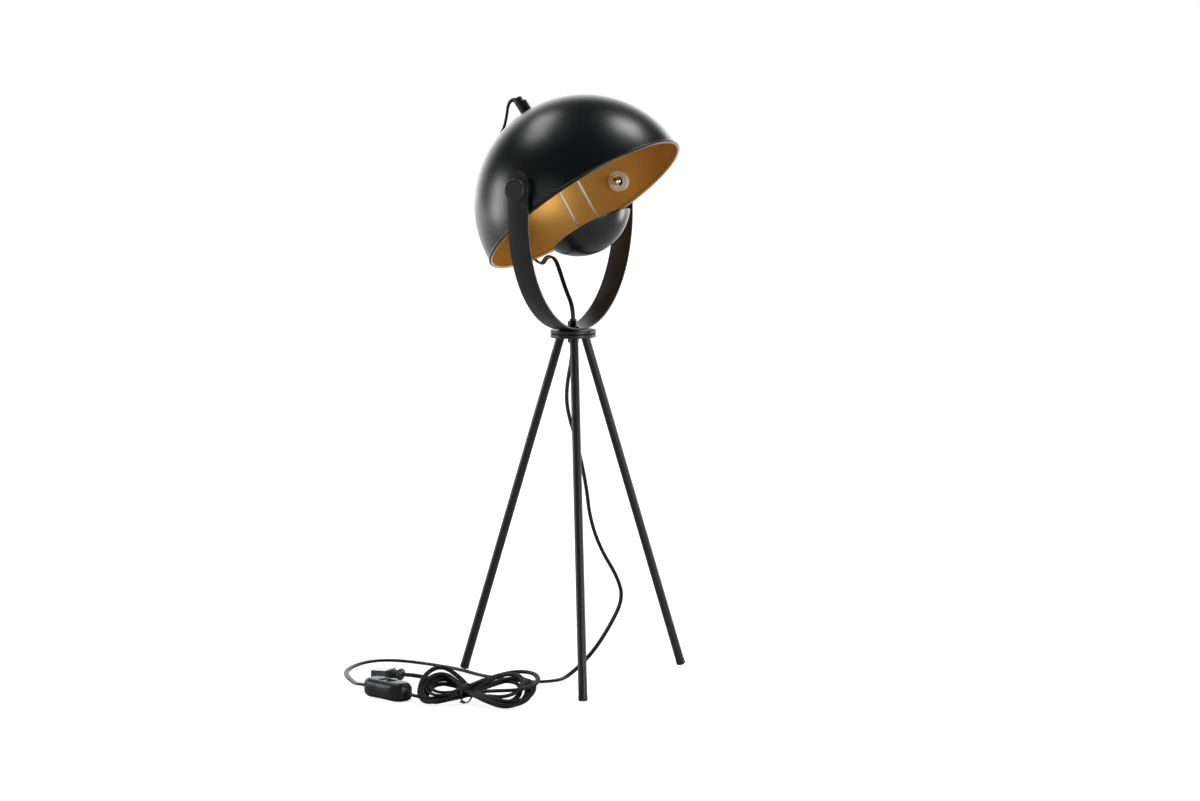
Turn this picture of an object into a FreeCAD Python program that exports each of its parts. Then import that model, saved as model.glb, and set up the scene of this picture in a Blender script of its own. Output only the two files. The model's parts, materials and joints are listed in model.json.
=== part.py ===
"""Tabletop searchlight lamp: a tripod stand, a strap yoke and a hemispherical shade.

Lengths are millimetres and angles are degrees. The lamp is modelled round the tripod's axis, with the
table at z = 0 and the shade looking towards -Y. export_nodes() moves it so that its origin is the middle
of its footprint.
"""
import FreeCAD, Part
import math
import os

V = FreeCAD.Vector
X_AXIS, Y_AXIS, Z_AXIS = V(1, 0, 0), V(0, 1, 0), V(0, 0, 1)
ORIGIN = V(0, 0, 0)

# --- Shade: a hemisphere with a rolled rim, aimed down at the table ---
shade_radius = 120.0
shade_wall = 1.0
rim_bead_radius = 1.9
rim_bead_inset = 0.3        # the bead's centre lies this far inside the outer face
pivot_setback = 26.1        # from the rim's plane back to the pivot axis
aim_below_level = 54.6

# --- Yoke: a flat strap bent to a U ---
strap_width = 24.0
strap_thickness = 2.0
shade_side_gap = 2.8        # from the rim's bead to the strap
strap_seat_length = 16.0    # flat bottom that sits on the hub
yoke_arm_straight = 31.8    # from the end of the U's bend up to the pivot
strap_past_pivot = 7.6      # from the pivot up to the centre of the round end

# --- Hub: two discs on a hollow threaded tube ---
stand_height = 378.0        # underside of the leg plate
hub_disc_radius = 25.0
hub_disc_round = 0.8
leg_plate_thickness = 4.0
swivel_plate_thickness = 4.0
friction_washer_radius = 22.5
friction_washer_thickness = 0.45
nipple_radius = 4.0
nipple_bore_radius = 3.1
nipple_below_nut = 1.5
nipple_above_nut = 2.0
hub_nut_flats = 10.4
upper_nut_height = 6.0
lower_nut_height = 5.0
hub_washer_radius = 6.75
upper_washer_thickness = 1.5
lower_washer_thickness = 1.0

# --- Legs ---
leg_radius = 4.75
leg_wall = 1.0
leg_top_reach = 15.6        # from the tripod's axis to the leg's axis, under the plate
leg_foot_reach = 141.6      # the same at the table
leg_azimuths = {"rear": 90.0, "front_left": 210.0, "front_right": 330.0}
foot_cap_radius = 5.0
foot_cap_visible = 5.5
foot_cap_plug = 12.0
foot_cap_round = 1.0
foot_sole_depth = 0.3       # how deep the flat sole is cut into the cap's round edge

# --- Pivot hardware, the same on both sides ---
stud_radius = 3.0
spacer_radius = 11.7
knob_washer_radius = 12.8
knob_washer_thickness = 1.6
knob_washer_round = 0.4
knob_radius = 11.8
knob_depth = 8.5
knob_round = 2.4
knob_back_round = 0.8
knob_face_rise = 0.35       # how far the middle of its face stands out
knob_bore_depth = 6.5
inner_washer_radius = 11.5
inner_washer_least = 0.6    # thickness at its thin edge
cap_nut_flats = 10.0
cap_nut_flange_radius = 7.0
cap_nut_flange = 1.5
cap_nut_hex_height = 4.0
cap_nut_dome_radius = 4.8
cap_nut_bore_depth = 7.0

# --- Lampholder for an E26 or E27 lamp ---
holder_boss_radius = 6.0
holder_radius = 19.75
holder_cap_height = 22.7
holder_cap_cavity_radius = 17.6
holder_cap_cavity_height = 11.5
holder_cap_straight = 8.0
skirt_length = 34.0
skirt_bore_radius = 15.5
skirt_lip_radius = 13.5
skirt_lip_height = 2.0
skirt_flange_radius = 22.0
skirt_flange_thickness = 2.0
skirt_flange_drop = 2.8     # from the skirt's top down to the flange
core_thickness = 10.0
core_boss_radius = 14.8
core_boss_drop = 8.0
core_recess_radius = 13.1   # a little less than the screw shell, which stands on the boss round it
core_recess_depth = 3.6
screw_shell_radius = 13.3   # inside
screw_shell_wall = 0.4
contact_radius = 5.0
contact_thickness = 0.8
contact_bump = 2.0
clamp_ring_radius = 25.0
clamp_ring_height = 6.0

# --- Bracket and anti-glare bowl ---
bracket_ring_radius = 30.0
bracket_ring_thickness = 1.2
bracket_lean = 4.2
wire_radius = 1.5
wire_half_span = 27.8
wire_side_bend = 60.0
wire_side_turn = 32.0
bowl_rim_radius = 46.8
bowl_depth = 24.2
bowl_wall = 0.9
bowl_rim_drop = 118.2       # from the bracket ring's underside to the bowl's rim

# --- Cord grip at the top of the shade ---
grip_radius = 5.25
grip_length = 18.5
grip_cord_depth = 13.4
grip_wire_radius = 2.4
grip_mouth_chamfer = 0.8
grip_shank_length = 10.5
grip_shank_radius = 4.0
clamp_bar_length = 11.0
clamp_bar_width = 5.5
clamp_bar_thickness = 2.7
clamp_bar_seat_depth = 0.6
clamp_rib_count = 5
clamp_rib_depth = 0.8

# --- Cord, switch, hank and plug ---
cord_radius = 2.8
switch_length = 66.0
switch_width = 28.0
switch_end_width = 16.0     # its ends taper to the cord
switch_shoulder = 24.0      # from the middle to where the taper starts
switch_waist = 1.2          # how far each long side is drawn in at the middle
switch_height = 20.0
switch_shoulder_round = 8.0
switch_end_round = 5.5
switch_top_round = 5.0
switch_bottom_round = 2.0
switch_split_height = 9.0
switch_collar_radius = 4.5
switch_collar_length = 3.0
rocker_swing_radius = 10.2
rocker_width = 10.6
rocker_pivot_height = 14.0
rocker_half_swing = 8.0
rocker_centre_rise = 4.6
rocker_depth = 2.2
rocker_pin_radius = 1.2
rocker_pin_reach = 1.4
switch_screw_spread = 25.0
switch_screw_radius = 1.4
switch_screw_head_radius = 2.6
switch_screw_head_height = 1.6
switch_screw_recess = 2.4
switch_screw_length = 13.0
plug_grip_length = 13.0
plug_flange_length = 4.0
plug_collar_length = 4.5    # the finger stop at the cord's end
plug_width = 22.0
plug_height = 12.6
plug_flange_width = 20.0
plug_flange_height = 10.4
plug_waist_width = 14.4
plug_waist_height = 9.4
plug_rib_count = 3
plug_rib_rise = 0.9
blade_spacing = 12.7
blade_thickness = 1.5
blade_width = 6.35
blade_length = 15.9
cover_length = 18.5
cover_half_width = 9.5
cover_half_height = 4.7
cover_wall = 0.9
tie_width = 9.0
tie_thickness = 1.2

# --- Clearances ---
running_gap = 0.08          # radial, a shaft that turns in its hole
face_gap = 0.1              # between faces that slide on each other
thread_gap = 0.05           # radial, a nut on its thread
seat_gap = 0.05             # a curved seat on a curved face
hole_gap = 0.15             # radial, a fixed piece in its hole

# --- Places worked out from the sizes above ---
bead_ring_radius = shade_radius - rim_bead_inset
rim_outer_radius = bead_ring_radius + rim_bead_radius
strap_inner_reach = rim_outer_radius + shade_side_gap
strap_outer_reach = strap_inner_reach + strap_thickness
leg_plate_top = stand_height + leg_plate_thickness
swivel_plate_base = leg_plate_top + friction_washer_thickness + face_gap / 2
hub_top = swivel_plate_base + swivel_plate_thickness
strap_seat_top = hub_top + strap_thickness
bend_middle_radius = strap_inner_reach + strap_thickness / 2
bend_centre_height = (hub_top + strap_thickness / 2
                      + math.sqrt(bend_middle_radius ** 2 - (strap_seat_length / 2) ** 2))
pivot_height = bend_centre_height + yoke_arm_straight
upper_washer_base = strap_seat_top + face_gap / 2
upper_nut_base = upper_washer_base + upper_washer_thickness
nipple_top = upper_nut_base + upper_nut_height + nipple_above_nut
lower_nut_top = stand_height - lower_washer_thickness
nipple_base = lower_nut_top - lower_nut_height - nipple_below_nut
sphere_centre = -pivot_setback                      # in the shade's own frame
shade_top = sphere_centre + shade_radius
grip_end = shade_top + grip_length
shade_inner_radius = shade_radius - shade_wall
holder_top = sphere_centre + math.sqrt(shade_inner_radius ** 2 - holder_boss_radius ** 2) - seat_gap
skirt_top = holder_top - holder_cap_height
skirt_base = skirt_top - skirt_length
flange_top = skirt_top - skirt_flange_drop
flange_base = flange_top - skirt_flange_thickness
bracket_base = flange_base - bracket_ring_thickness
leg_lean = math.degrees(math.atan2(leg_foot_reach - leg_top_reach, stand_height))


# --- Helpers ---
def flat(point):
    """A point (x, z) of the XZ plane."""
    return V(point[0], 0, point[1])


def outline(*stops):
    """A face in the XZ plane. A stop is a point (x, z), or a pair: a point on an arc, and its end."""
    edges = []
    here = flat(stops[0])
    for stop in stops[1:] + stops[:1]:
        if isinstance(stop[0], tuple):
            end = flat(stop[1])
            edges.append(Part.Arc(here, flat(stop[0]), end).toShape())
        else:
            end = flat(stop)
            if end.distanceToPoint(here) > 1e-7:
                edges.append(Part.LineSegment(here, end).toShape())
        here = end
    return Part.Face(Part.Wire(edges))


def spin(face):
    """A full turn of an XZ outline about Z."""
    return face.revolve(ORIGIN, Z_AXIS, 360)


def disc(radius, low, high, hole=0.0):
    """A round plate about Z, with a hole where one is given."""
    plate = Part.makeCylinder(radius, high - low, V(0, 0, low))
    if hole:
        plate = plate.cut(Part.makeCylinder(hole, high - low, V(0, 0, low)))
    return plate


def side_disc(radius, low, high, hole=0.0):
    """The same about X."""
    plate = disc(radius, low, high, hole)
    plate.rotate(ORIGIN, Y_AXIS, 90)
    return plate


def rounded_disc(radius, low, high, edge, hole):
    """A ring about Z whose outer edges are rounded."""
    inner = radius - edge
    bottom = (on_arc((inner, low + edge), edge, -45), (radius, low + edge))
    top = (on_arc((inner, high - edge), edge, 45), (inner, high))
    return spin(outline((hole, low), (inner, low), bottom, (radius, high - edge), top, (hole, high)))


def hexagon(flats, low, high, hole):
    """A plain nut about Z, its corners chamfered by a cone at each end."""
    corner = flats / math.sqrt(3)
    ring = [V(corner * math.cos(math.radians(60 * i)), corner * math.sin(math.radians(60 * i)), low)
            for i in range(7)]
    nut = Part.Face(Part.makePolygon(ring)).extrude(V(0, 0, high - low))
    chamfer = corner - flats / 2
    turned = spin(outline((0, low), (flats / 2, low), (corner, low + chamfer),
                          (corner, high - chamfer), (flats / 2, high), (0, high)))
    return nut.common(turned).cut(disc(hole, low, high))


def on_arc(centre, radius, angle):
    """The point of a circle in the XZ plane at an angle from +X towards +Z."""
    turn = math.radians(angle)
    return (centre[0] + radius * math.cos(turn), centre[1] + radius * math.sin(turn))


def height_on_sphere(radius, reach):
    """Height of a sphere about the shade's centre, at a reach from its axis, in the shade's frame."""
    return sphere_centre + math.sqrt(radius ** 2 - reach ** 2)


def reach_on_sphere(radius, height):
    """How far along X a sphere about the shade's centre lies from the axis, at a height."""
    return math.sqrt(radius ** 2 - (height - sphere_centre) ** 2)


def in_shade(shape):
    """From the shade's frame, +Z to its top and the pivot at the origin, to the lamp's frame."""
    placed = shape.copy()
    placed.rotate(ORIGIN, X_AXIS, aim_below_level - 90)
    placed.translate(V(0, 0, pivot_height))
    return placed


def in_bracket(shape):
    """From the bracket's frame, z = 0 at the ring's underside, to the shade's frame."""
    placed = shape.copy()
    placed.rotate(ORIGIN, X_AXIS, bracket_lean)
    placed.translate(V(0, 0, bracket_base))
    return placed


def both_sides(shape):
    """A piece on the +X side together with the same piece on the -X side."""
    other = shape.copy()
    other.rotate(ORIGIN, Z_AXIS, 180)
    return Part.makeCompound([shape, other])


def upright_edges(block):
    return [e for e in block.Edges if abs(e.Vertexes[0].Z - e.Vertexes[1].Z) > 1e-6]


def rounded_block(length, width, low, high, corner):
    """A block about Z with round upright corners."""
    block = Part.makeBox(length, width, high - low, V(-length / 2, -width / 2, low))
    return block.makeFillet(corner, upright_edges(block))


def edges_at(shape, height):
    """The edges that lie wholly at one height."""
    return [e for e in shape.Edges
            if abs(e.BoundBox.ZMin - height) < 1e-6 and abs(e.BoundBox.ZMax - height) < 1e-6]


# --- Hub ---
def leg_plate():
    return rounded_disc(hub_disc_radius, stand_height, leg_plate_top, hub_disc_round, nipple_radius + hole_gap)


def friction_washer():
    top = leg_plate_top + friction_washer_thickness
    return disc(friction_washer_radius, leg_plate_top, top, nipple_radius + hole_gap)


def swivel_plate():
    return rounded_disc(hub_disc_radius, swivel_plate_base, hub_top, hub_disc_round,
                        nipple_radius + running_gap)


def hub_nipple():
    return disc(nipple_radius, nipple_base, nipple_top, nipple_bore_radius)


def upper_washer():
    return disc(hub_washer_radius, upper_washer_base, upper_nut_base, nipple_radius + thread_gap)


def upper_nut():
    return hexagon(hub_nut_flats, upper_nut_base, upper_nut_base + upper_nut_height,
                   nipple_radius + thread_gap)


def lower_washer():
    return disc(hub_washer_radius, lower_nut_top, stand_height, nipple_radius + thread_gap)


def lower_nut():
    return hexagon(hub_nut_flats, lower_nut_top - lower_nut_height, lower_nut_top,
                   nipple_radius + thread_gap)


# --- Legs: each is modelled along Z with the table's point of its axis at the origin ---
def place_leg(shape, azimuth):
    """Lean a leg outwards, stand it on its reach and turn it to its place."""
    placed = shape.copy()
    placed.rotate(ORIGIN, Y_AXIS, -leg_lean)
    placed.translate(V(leg_foot_reach, 0, 0))
    placed.rotate(ORIGIN, Z_AXIS, azimuth)
    return placed


def cap_end_along_leg():
    """Where the cap's end lies along the leg's axis, so that its round edge is cut by the sole."""
    lean = math.radians(leg_lean)
    edge_reach = foot_cap_radius - foot_cap_round
    lowest = foot_cap_round * (1 - math.cos(lean)) + edge_reach * math.sin(lean)
    return (lowest - foot_sole_depth) / math.cos(lean)


def leg_tube(azimuth):
    low = cap_end_along_leg() + foot_cap_visible
    length = stand_height / math.cos(math.radians(leg_lean)) + 4 * leg_radius
    tube = place_leg(disc(leg_radius, low, length, leg_radius - leg_wall), azimuth)
    reach = 4 * leg_foot_reach
    above_plate = Part.makeBox(reach, reach, stand_height, V(-reach / 2, -reach / 2, stand_height))
    return tube.cut(above_plate)


def foot_cap(azimuth):
    low = cap_end_along_leg()
    top = low + foot_cap_visible
    head = disc(foot_cap_radius, low, top)
    head = head.makeFillet(foot_cap_round, edges_at(head, low))
    plug = disc(leg_radius - leg_wall - thread_gap, top, top + foot_cap_plug)
    cap = place_leg(head.fuse(plug), azimuth)
    reach = 4 * leg_foot_reach
    below_table = Part.makeBox(reach, reach, leg_foot_reach, V(-reach / 2, -reach / 2, -leg_foot_reach))
    return cap.cut(below_table)


# --- Yoke ---
def u_outline(reach, seat_height):
    """One face of the strap: an arm, the bend, the flat seat, the bend and the other arm."""
    top = pivot_height + strap_past_pivot + strap_width / 2
    centre = (0, bend_centre_height)
    seat_half = math.sqrt(reach ** 2 - (bend_centre_height - seat_height) ** 2)
    seat_angle = math.degrees(math.acos(seat_half / reach))
    middle = seat_angle / 2
    return outline((-reach, top), (-reach, bend_centre_height),
                   (on_arc(centre, reach, 180 + middle), (-seat_half, seat_height)),
                   (seat_half, seat_height),
                   (on_arc(centre, reach, -middle), (reach, bend_centre_height)),
                   (reach, top))


def yoke():
    strap = u_outline(strap_outer_reach, hub_top).cut(u_outline(strap_inner_reach, strap_seat_top))
    strap = strap.extrude(V(0, strap_width, 0))
    strap.translate(V(0, -strap_width / 2, 0))
    centre = pivot_height + strap_past_pivot
    span = 2 * strap_outer_reach
    side = Part.makeBox(span, strap_width, centre, V(-span / 2, -strap_width / 2, 0))
    ends = Part.makeCylinder(strap_width / 2, span, V(-span / 2, 0, centre), X_AXIS)
    strap = strap.common(side.fuse(ends))
    pivots = Part.makeCylinder(stud_radius + running_gap, span, V(-span / 2, 0, pivot_height), X_AXIS)
    seat = disc(nipple_radius + running_gap, 0, strap_seat_top + strap_thickness)
    return strap.cut(pivots).cut(seat)


# --- Shade and what hangs it ---
def shade():
    centre = (0, sphere_centre)
    hole = grip_shank_radius + hole_gap
    bead = (bead_ring_radius, sphere_centre)

    def bead_meets(radius):
        reach = (radius ** 2 - rim_bead_radius ** 2 + bead_ring_radius ** 2) / (2 * bead_ring_radius)
        return (reach, height_on_sphere(radius, reach))

    wall = outline((hole, height_on_sphere(shade_radius, hole)),
                   (on_arc(centre, shade_radius, 45), bead_meets(shade_radius)),
                   (on_arc(bead, rim_bead_radius, -90), bead_meets(shade_inner_radius)),
                   (on_arc(centre, shade_inner_radius, 45),
                    (hole, height_on_sphere(shade_inner_radius, hole))))
    dome = spin(wall)
    span = 2 * strap_outer_reach
    studs = Part.makeCylinder(stud_radius + hole_gap, span, V(-span / 2, 0, 0), X_AXIS)
    return dome.cut(studs)


def pivot_spacers():
    """Round spacers whose inner ends are hollowed to sit on the dome."""
    inner = reach_on_sphere(shade_radius, spacer_radius) - shade_wall
    spacer = side_disc(spacer_radius, inner, strap_inner_reach - face_gap, stud_radius + thread_gap)
    dome = Part.makeSphere(shade_radius + seat_gap, V(0, 0, sphere_centre))
    return both_sides(spacer.cut(dome))


def inner_washer_face():
    """Where the flat face of the inner washers lies, so that their thin edge keeps its thickness."""
    return reach_on_sphere(shade_inner_radius, inner_washer_radius) - inner_washer_least


def inner_washers():
    """Washers inside the shade, whose outer ends are rounded to sit in the dome."""
    washer = side_disc(inner_washer_radius, inner_washer_face(), shade_radius, stud_radius + thread_gap)
    dome = Part.makeSphere(shade_inner_radius - seat_gap, V(0, 0, sphere_centre))
    return both_sides(washer.common(dome))


def cap_nuts():
    """Flanged cap nuts, modelled with their open end at z = 0 and their dome above."""
    hex_top = cap_nut_flange + cap_nut_hex_height
    flange = disc(cap_nut_flange_radius, 0, cap_nut_flange)
    body = hexagon(cap_nut_flats, cap_nut_flange / 2, hex_top, stud_radius)
    centre = (0, hex_top - cap_nut_dome_radius / 4)
    start = math.degrees(math.asin(0.25))
    dome = spin(outline((0, cap_nut_flange), (cap_nut_dome_radius * math.cos(math.radians(start)),
                                              cap_nut_flange),
                        on_arc(centre, cap_nut_dome_radius, start),
                        (on_arc(centre, cap_nut_dome_radius, 50), on_arc(centre, cap_nut_dome_radius, 90))))
    nut = flange.fuse([body, dome]).cut(disc(stud_radius + thread_gap, 0, cap_nut_bore_depth))
    nut.rotate(ORIGIN, Y_AXIS, -90)
    nut.translate(V(inner_washer_face(), 0, 0))
    return both_sides(nut)


def pivot_studs():
    end_gap = 0.5
    inner = inner_washer_face() - cap_nut_bore_depth + end_gap
    outer = knob_base() + knob_bore_depth - end_gap
    return both_sides(side_disc(stud_radius, inner, outer))


def knob_base():
    return strap_outer_reach + knob_washer_thickness + face_gap


def knob_washers():
    washer = rounded_disc(knob_washer_radius, strap_outer_reach, strap_outer_reach + knob_washer_thickness,
                          knob_washer_round, stud_radius + running_gap)
    washer.rotate(ORIGIN, Y_AXIS, 90)
    washer.translate(V(0, 0, pivot_height))
    return both_sides(washer)


def knob(side):
    """A smooth round knob with a faintly domed face. side is 1 for +X and -1 for -X."""
    back = (knob_radius - knob_back_round, knob_back_round)
    front = (knob_radius - knob_round, knob_depth - knob_face_rise - knob_round)
    face_radius = (front[0] ** 2 + knob_face_rise ** 2) / (2 * knob_face_rise)
    half_way = 90 - math.degrees(math.asin(front[0] / face_radius)) / 2
    face_middle = on_arc((0, knob_depth - face_radius), face_radius, half_way)
    body = spin(outline((0, 0), (back[0], 0), (on_arc(back, knob_back_round, -45), (knob_radius, back[1])),
                        (knob_radius, front[1]),
                        (on_arc(front, knob_round, 45), (front[0], front[1] + knob_round)),
                        (face_middle, (0, knob_depth))))
    body = body.cut(disc(stud_radius + thread_gap, 0, knob_bore_depth))
    body.rotate(ORIGIN, Y_AXIS, 90 * side)
    body.translate(V(side * knob_base(), 0, 0))
    return in_shade(body)


# --- Lampholder, in the shade's frame ---
def lampholder_cap():
    shoulder = skirt_top + holder_cap_straight
    bore = grip_shank_radius + thread_gap
    centre = (holder_boss_radius, shoulder)
    lift = (holder_top - shoulder) * 0.8
    quarter = math.radians(45)
    mid = (centre[0] + (holder_radius - holder_boss_radius) * math.cos(quarter),
           shoulder + lift * math.sin(quarter))
    body = spin(outline((bore, holder_top), (holder_boss_radius, holder_top),
                        (holder_boss_radius, shoulder + lift),
                        (mid, (holder_radius, shoulder)), (holder_radius, skirt_top), (bore, skirt_top)))
    return body.cut(disc(holder_cap_cavity_radius, skirt_top, skirt_top + holder_cap_cavity_height))


def lampholder_core():
    core = disc(holder_cap_cavity_radius - hole_gap, skirt_top, skirt_top + core_thickness)
    boss_end = skirt_top - core_boss_drop
    boss = disc(core_boss_radius, boss_end, skirt_top)
    core = core.fuse(boss).removeSplitter()
    return core.cut(disc(core_recess_radius, boss_end, boss_end + core_recess_depth))


def lampholder_skirt():
    skirt = disc(holder_radius, skirt_base, skirt_top)
    skirt = skirt.fuse(disc(skirt_flange_radius, flange_base, flange_top))
    skirt = skirt.cut(disc(skirt_bore_radius, skirt_base + skirt_lip_height, skirt_top))
    return skirt.cut(disc(skirt_lip_radius, skirt_base, skirt_base + skirt_lip_height))


def screw_shell():
    return disc(screw_shell_radius + screw_shell_wall, skirt_base + skirt_lip_height,
                skirt_top - core_boss_drop, screw_shell_radius)


def centre_contact():
    top = skirt_top - core_boss_drop + core_recess_depth
    low = top - contact_thickness
    plate = disc(contact_radius, low, top)
    bump = disc(contact_radius / 2, low - contact_bump, low)
    return plate.fuse(bump.makeFillet(contact_bump / 2, edges_at(bump, low - contact_bump)))


def clamp_ring():
    return disc(clamp_ring_radius, bracket_base - clamp_ring_height, bracket_base,
                holder_radius + thread_gap)


# --- Bracket and bowl ---
def bracket_ring():
    return disc(bracket_ring_radius, bracket_base, flange_base, holder_radius + hole_gap)


def bowl_sphere_radius():
    return (bowl_rim_radius ** 2 + bowl_depth ** 2) / (2 * bowl_depth)


def bracket_wire():
    """A wire bent to a U, from the ring down to the bottom of the bowl and back."""
    turn = math.radians(wire_side_turn)
    bottom_half = wire_half_span - wire_side_bend * (1 - math.cos(turn))
    bottom_bend = bottom_half / math.cos(turn)
    bend_depth = (wire_side_bend - bottom_bend) * math.sin(turn) + bottom_bend
    floor = -(bowl_rim_drop + bowl_depth - bowl_wall) + seat_gap + wire_radius
    start = floor + bend_depth
    above = 2 * wire_radius
    side_centre = (wire_half_span - wire_side_bend, start)
    side_end = on_arc(side_centre, wire_side_bend, -wire_side_turn)
    left_centre = (-side_centre[0], start)
    left_end = (-side_end[0], side_end[1])
    half = wire_side_turn / 2
    path = Part.Wire([
        Part.LineSegment(flat((wire_half_span, above)), flat((wire_half_span, start))).toShape(),
        Part.Arc(flat((wire_half_span, start)), flat(on_arc(side_centre, wire_side_bend, -half)),
                 flat(side_end)).toShape(),
        Part.Arc(flat(side_end), flat((0, floor)), flat(left_end)).toShape(),
        Part.Arc(flat(left_end), flat(on_arc(left_centre, wire_side_bend, half - 180)),
                 flat((-wire_half_span, start))).toShape(),
        Part.LineSegment(flat((-wire_half_span, start)), flat((-wire_half_span, above))).toShape()])
    section = Part.Face(Part.Wire(Part.makeCircle(wire_radius, flat((wire_half_span, above)), Z_AXIS)))
    wire = in_bracket(path.makePipe(section))
    reach = 4 * wire_half_span
    above_ring = Part.makeBox(reach, reach, wire_half_span, V(-reach / 2, -reach / 2, bracket_base))
    return wire.cut(above_ring)


def anti_glare_bowl():
    radius = bowl_sphere_radius()
    centre = (0, radius - bowl_rim_drop - bowl_depth)
    rim = math.degrees(math.asin((radius - bowl_depth) / radius))
    half = (rim + 90) / 2 - 90
    inner = radius - bowl_wall
    edge = on_arc(centre, radius - bowl_wall / 2, -rim)
    lip = (edge[0] + bowl_wall / 2 * math.sin(math.radians(rim)),
           edge[1] + bowl_wall / 2 * math.cos(math.radians(rim)))
    return in_bracket(spin(outline((0, centre[1] - radius),
                                   (on_arc(centre, radius, half - rim / 2), on_arc(centre, radius, -rim)),
                                   (lip, on_arc(centre, inner, -rim)),
                                   (on_arc(centre, inner, half - rim / 2), (0, centre[1] - inner)))))


# --- Cord grip ---
def clamp_bar_seat():
    return -(grip_radius - clamp_bar_seat_depth)


def clamp_bar_base():
    return grip_end - (grip_length + clamp_bar_length) / 2


def cord_grip():
    """A sleeve on a hollow shank. The cord stops in the sleeve and its wires go on through the shank."""
    cord_bore = cord_radius + 2 * hole_gap
    seat = grip_end - grip_cord_depth
    sleeve = disc(grip_radius, shade_top, grip_end)
    shank = disc(grip_shank_radius, shade_top - grip_shank_length, shade_top)
    grip = sleeve.fuse(shank)
    grip = grip.cut(disc(grip_wire_radius, shade_top - grip_shank_length, seat))
    grip = grip.cut(disc(cord_bore, seat, grip_end))
    mouth = Part.makeCone(cord_bore, cord_bore + grip_mouth_chamfer, grip_mouth_chamfer,
                          V(0, 0, grip_end - grip_mouth_chamfer))
    pocket = Part.makeBox(clamp_bar_width, grip_radius, clamp_bar_length,
                          V(-clamp_bar_width / 2, clamp_bar_seat() - grip_radius, clamp_bar_base()))
    return grip.cut(mouth).cut(pocket)


def cord_grip_clamp():
    """The ribbed bar that is screwed against the cord from the side."""
    seat = clamp_bar_seat()
    bar = Part.makeBox(clamp_bar_width, clamp_bar_thickness, clamp_bar_length,
                       V(-clamp_bar_width / 2, seat - clamp_bar_thickness, clamp_bar_base()))
    pitch = clamp_bar_length / clamp_rib_count
    for i in range(1, clamp_rib_count):
        groove = Part.makeBox(clamp_bar_width, clamp_rib_depth, pitch / 2,
                              V(-clamp_bar_width / 2, seat - clamp_bar_thickness,
                                clamp_bar_base() + (i - 0.25) * pitch))
        bar = bar.cut(groove)
    return bar


# --- Cord routes: points chosen by hand ---
def at_grip(height):
    """A point on the grip's axis, in the lamp's frame."""
    aim = math.radians(aim_below_level)
    return (0, height * math.cos(aim), pivot_height + height * math.sin(aim))


def cord_tube(points, name):
    """A round cord of straight runs joined by arcs, each as large as its two runs allow."""
    corners = [V(*p) for p in points]
    edges = []
    radii = []
    here = corners[0]
    for before, corner, after in zip(corners, corners[1:], corners[2:]):
        inward, onward = corner - before, after - corner
        reach = 0.45 * min(inward.Length, onward.Length)
        turn = inward.getAngle(onward)
        radius = reach / math.tan(turn / 2)
        inward.normalize()
        onward.normalize()
        start = corner - inward * reach
        end = corner + onward * reach
        middle = onward - inward
        middle.normalize()
        via = corner + middle * (radius / math.cos(turn / 2) - radius)
        edges += [Part.LineSegment(here, start).toShape(), Part.Arc(start, via, end).toShape()]
        radii.append(radius)
        here = end
    edges.append(Part.LineSegment(here, corners[-1]).toShape())
    path = Part.Wire(edges)
    heading = corners[1] - corners[0]
    section = Part.Face(Part.Wire(Part.makeCircle(cord_radius, corners[0], heading)))
    tube = path.makePipe(section)
    expected = path.Length * math.pi * cord_radius ** 2
    print(f"{name}: length {path.Length:.0f}, volume {tube.Volume / expected:.5f} of section x length,"
          f" radii {' '.join(f'{r:.0f}' for r in radii)}")
    return tube


upper_route = [
    at_grip(grip_end - grip_cord_depth), at_grip(grip_end + 2.5), (0.0, 77.2, 638.4), (0.8, 83.6, 629.4),
    (2.5, 85.2, 611.0), (10.0, 101.9, 585.1), (26.4, 112.8, 545.4), (44.0, 108.9, 505.1),
    (60.0, 92.9, 473.1), (54.0, 67.0, 450.5), (34.0, 49.0, 464.5), (19.0, 31.0, 463.0),
    (10.5, 20.0, 446.0), (5.0, 11.5, 430.0), (0.0, 0.0, nipple_top + 13.0), (0.0, 0.0, nipple_top)]

switch_rear = (-177.0, 163.0)
switch_heading = 248.3
floor_cord = cord_radius
entry = switch_split_height
heading_x = math.cos(math.radians(switch_heading))
heading_y = math.sin(math.radians(switch_heading))
switch_front = (switch_rear[0] + (switch_length + 2 * switch_collar_length) * heading_x,
                switch_rear[1] + (switch_length + 2 * switch_collar_length) * heading_y)

lower_route = [
    (0.0, 0.0, nipple_top), (0.0, 0.0, 362.0), (-3.6, 7.0, 325.0), (-3.4, 6.8, 298.0),
    (1.5, -3.0, 262.0), (5.8, -11.6, 215.0), (7.4, -14.9, 178.0), (12.5, -25.0, 144.0),
    (21.0, -42.0, 112.0), (23.5, -47.0, 88.0), (17.0, -34.0, 58.0), (8.0, -16.0, 27.0),
    (-8.0, 5.0, floor_cord), (-38.0, 4.0, floor_cord), (-57.0, 24.0, floor_cord),
    (-54.0, 56.0, floor_cord), (-44.0, 96.0, floor_cord), (-21.0, 134.0, floor_cord),
    (-10.0, 165.0, floor_cord), (-1.0, 203.0, floor_cord), (0.0, 235.0, floor_cord),
    (-17.0, 254.0, floor_cord), (-48.0, 256.0, floor_cord), (-84.0, 246.0, floor_cord),
    (-116.0, 229.0, floor_cord), (-141.0, 208.0, floor_cord), (-160.0, 190.5, 5.5),
    (switch_rear[0] - 14 * heading_x, switch_rear[1] - 14 * heading_y, entry),
    (switch_rear[0], switch_rear[1], entry)]

lead_route = [
    (switch_front[0], switch_front[1], entry),
    (switch_front[0] + 13 * heading_x, switch_front[1] + 13 * heading_y, entry),
    (-206.5, 69.0, 6.0), (-197.0, 55.0, 5.0), (-186.0, 46.0, 6.0)]

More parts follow.
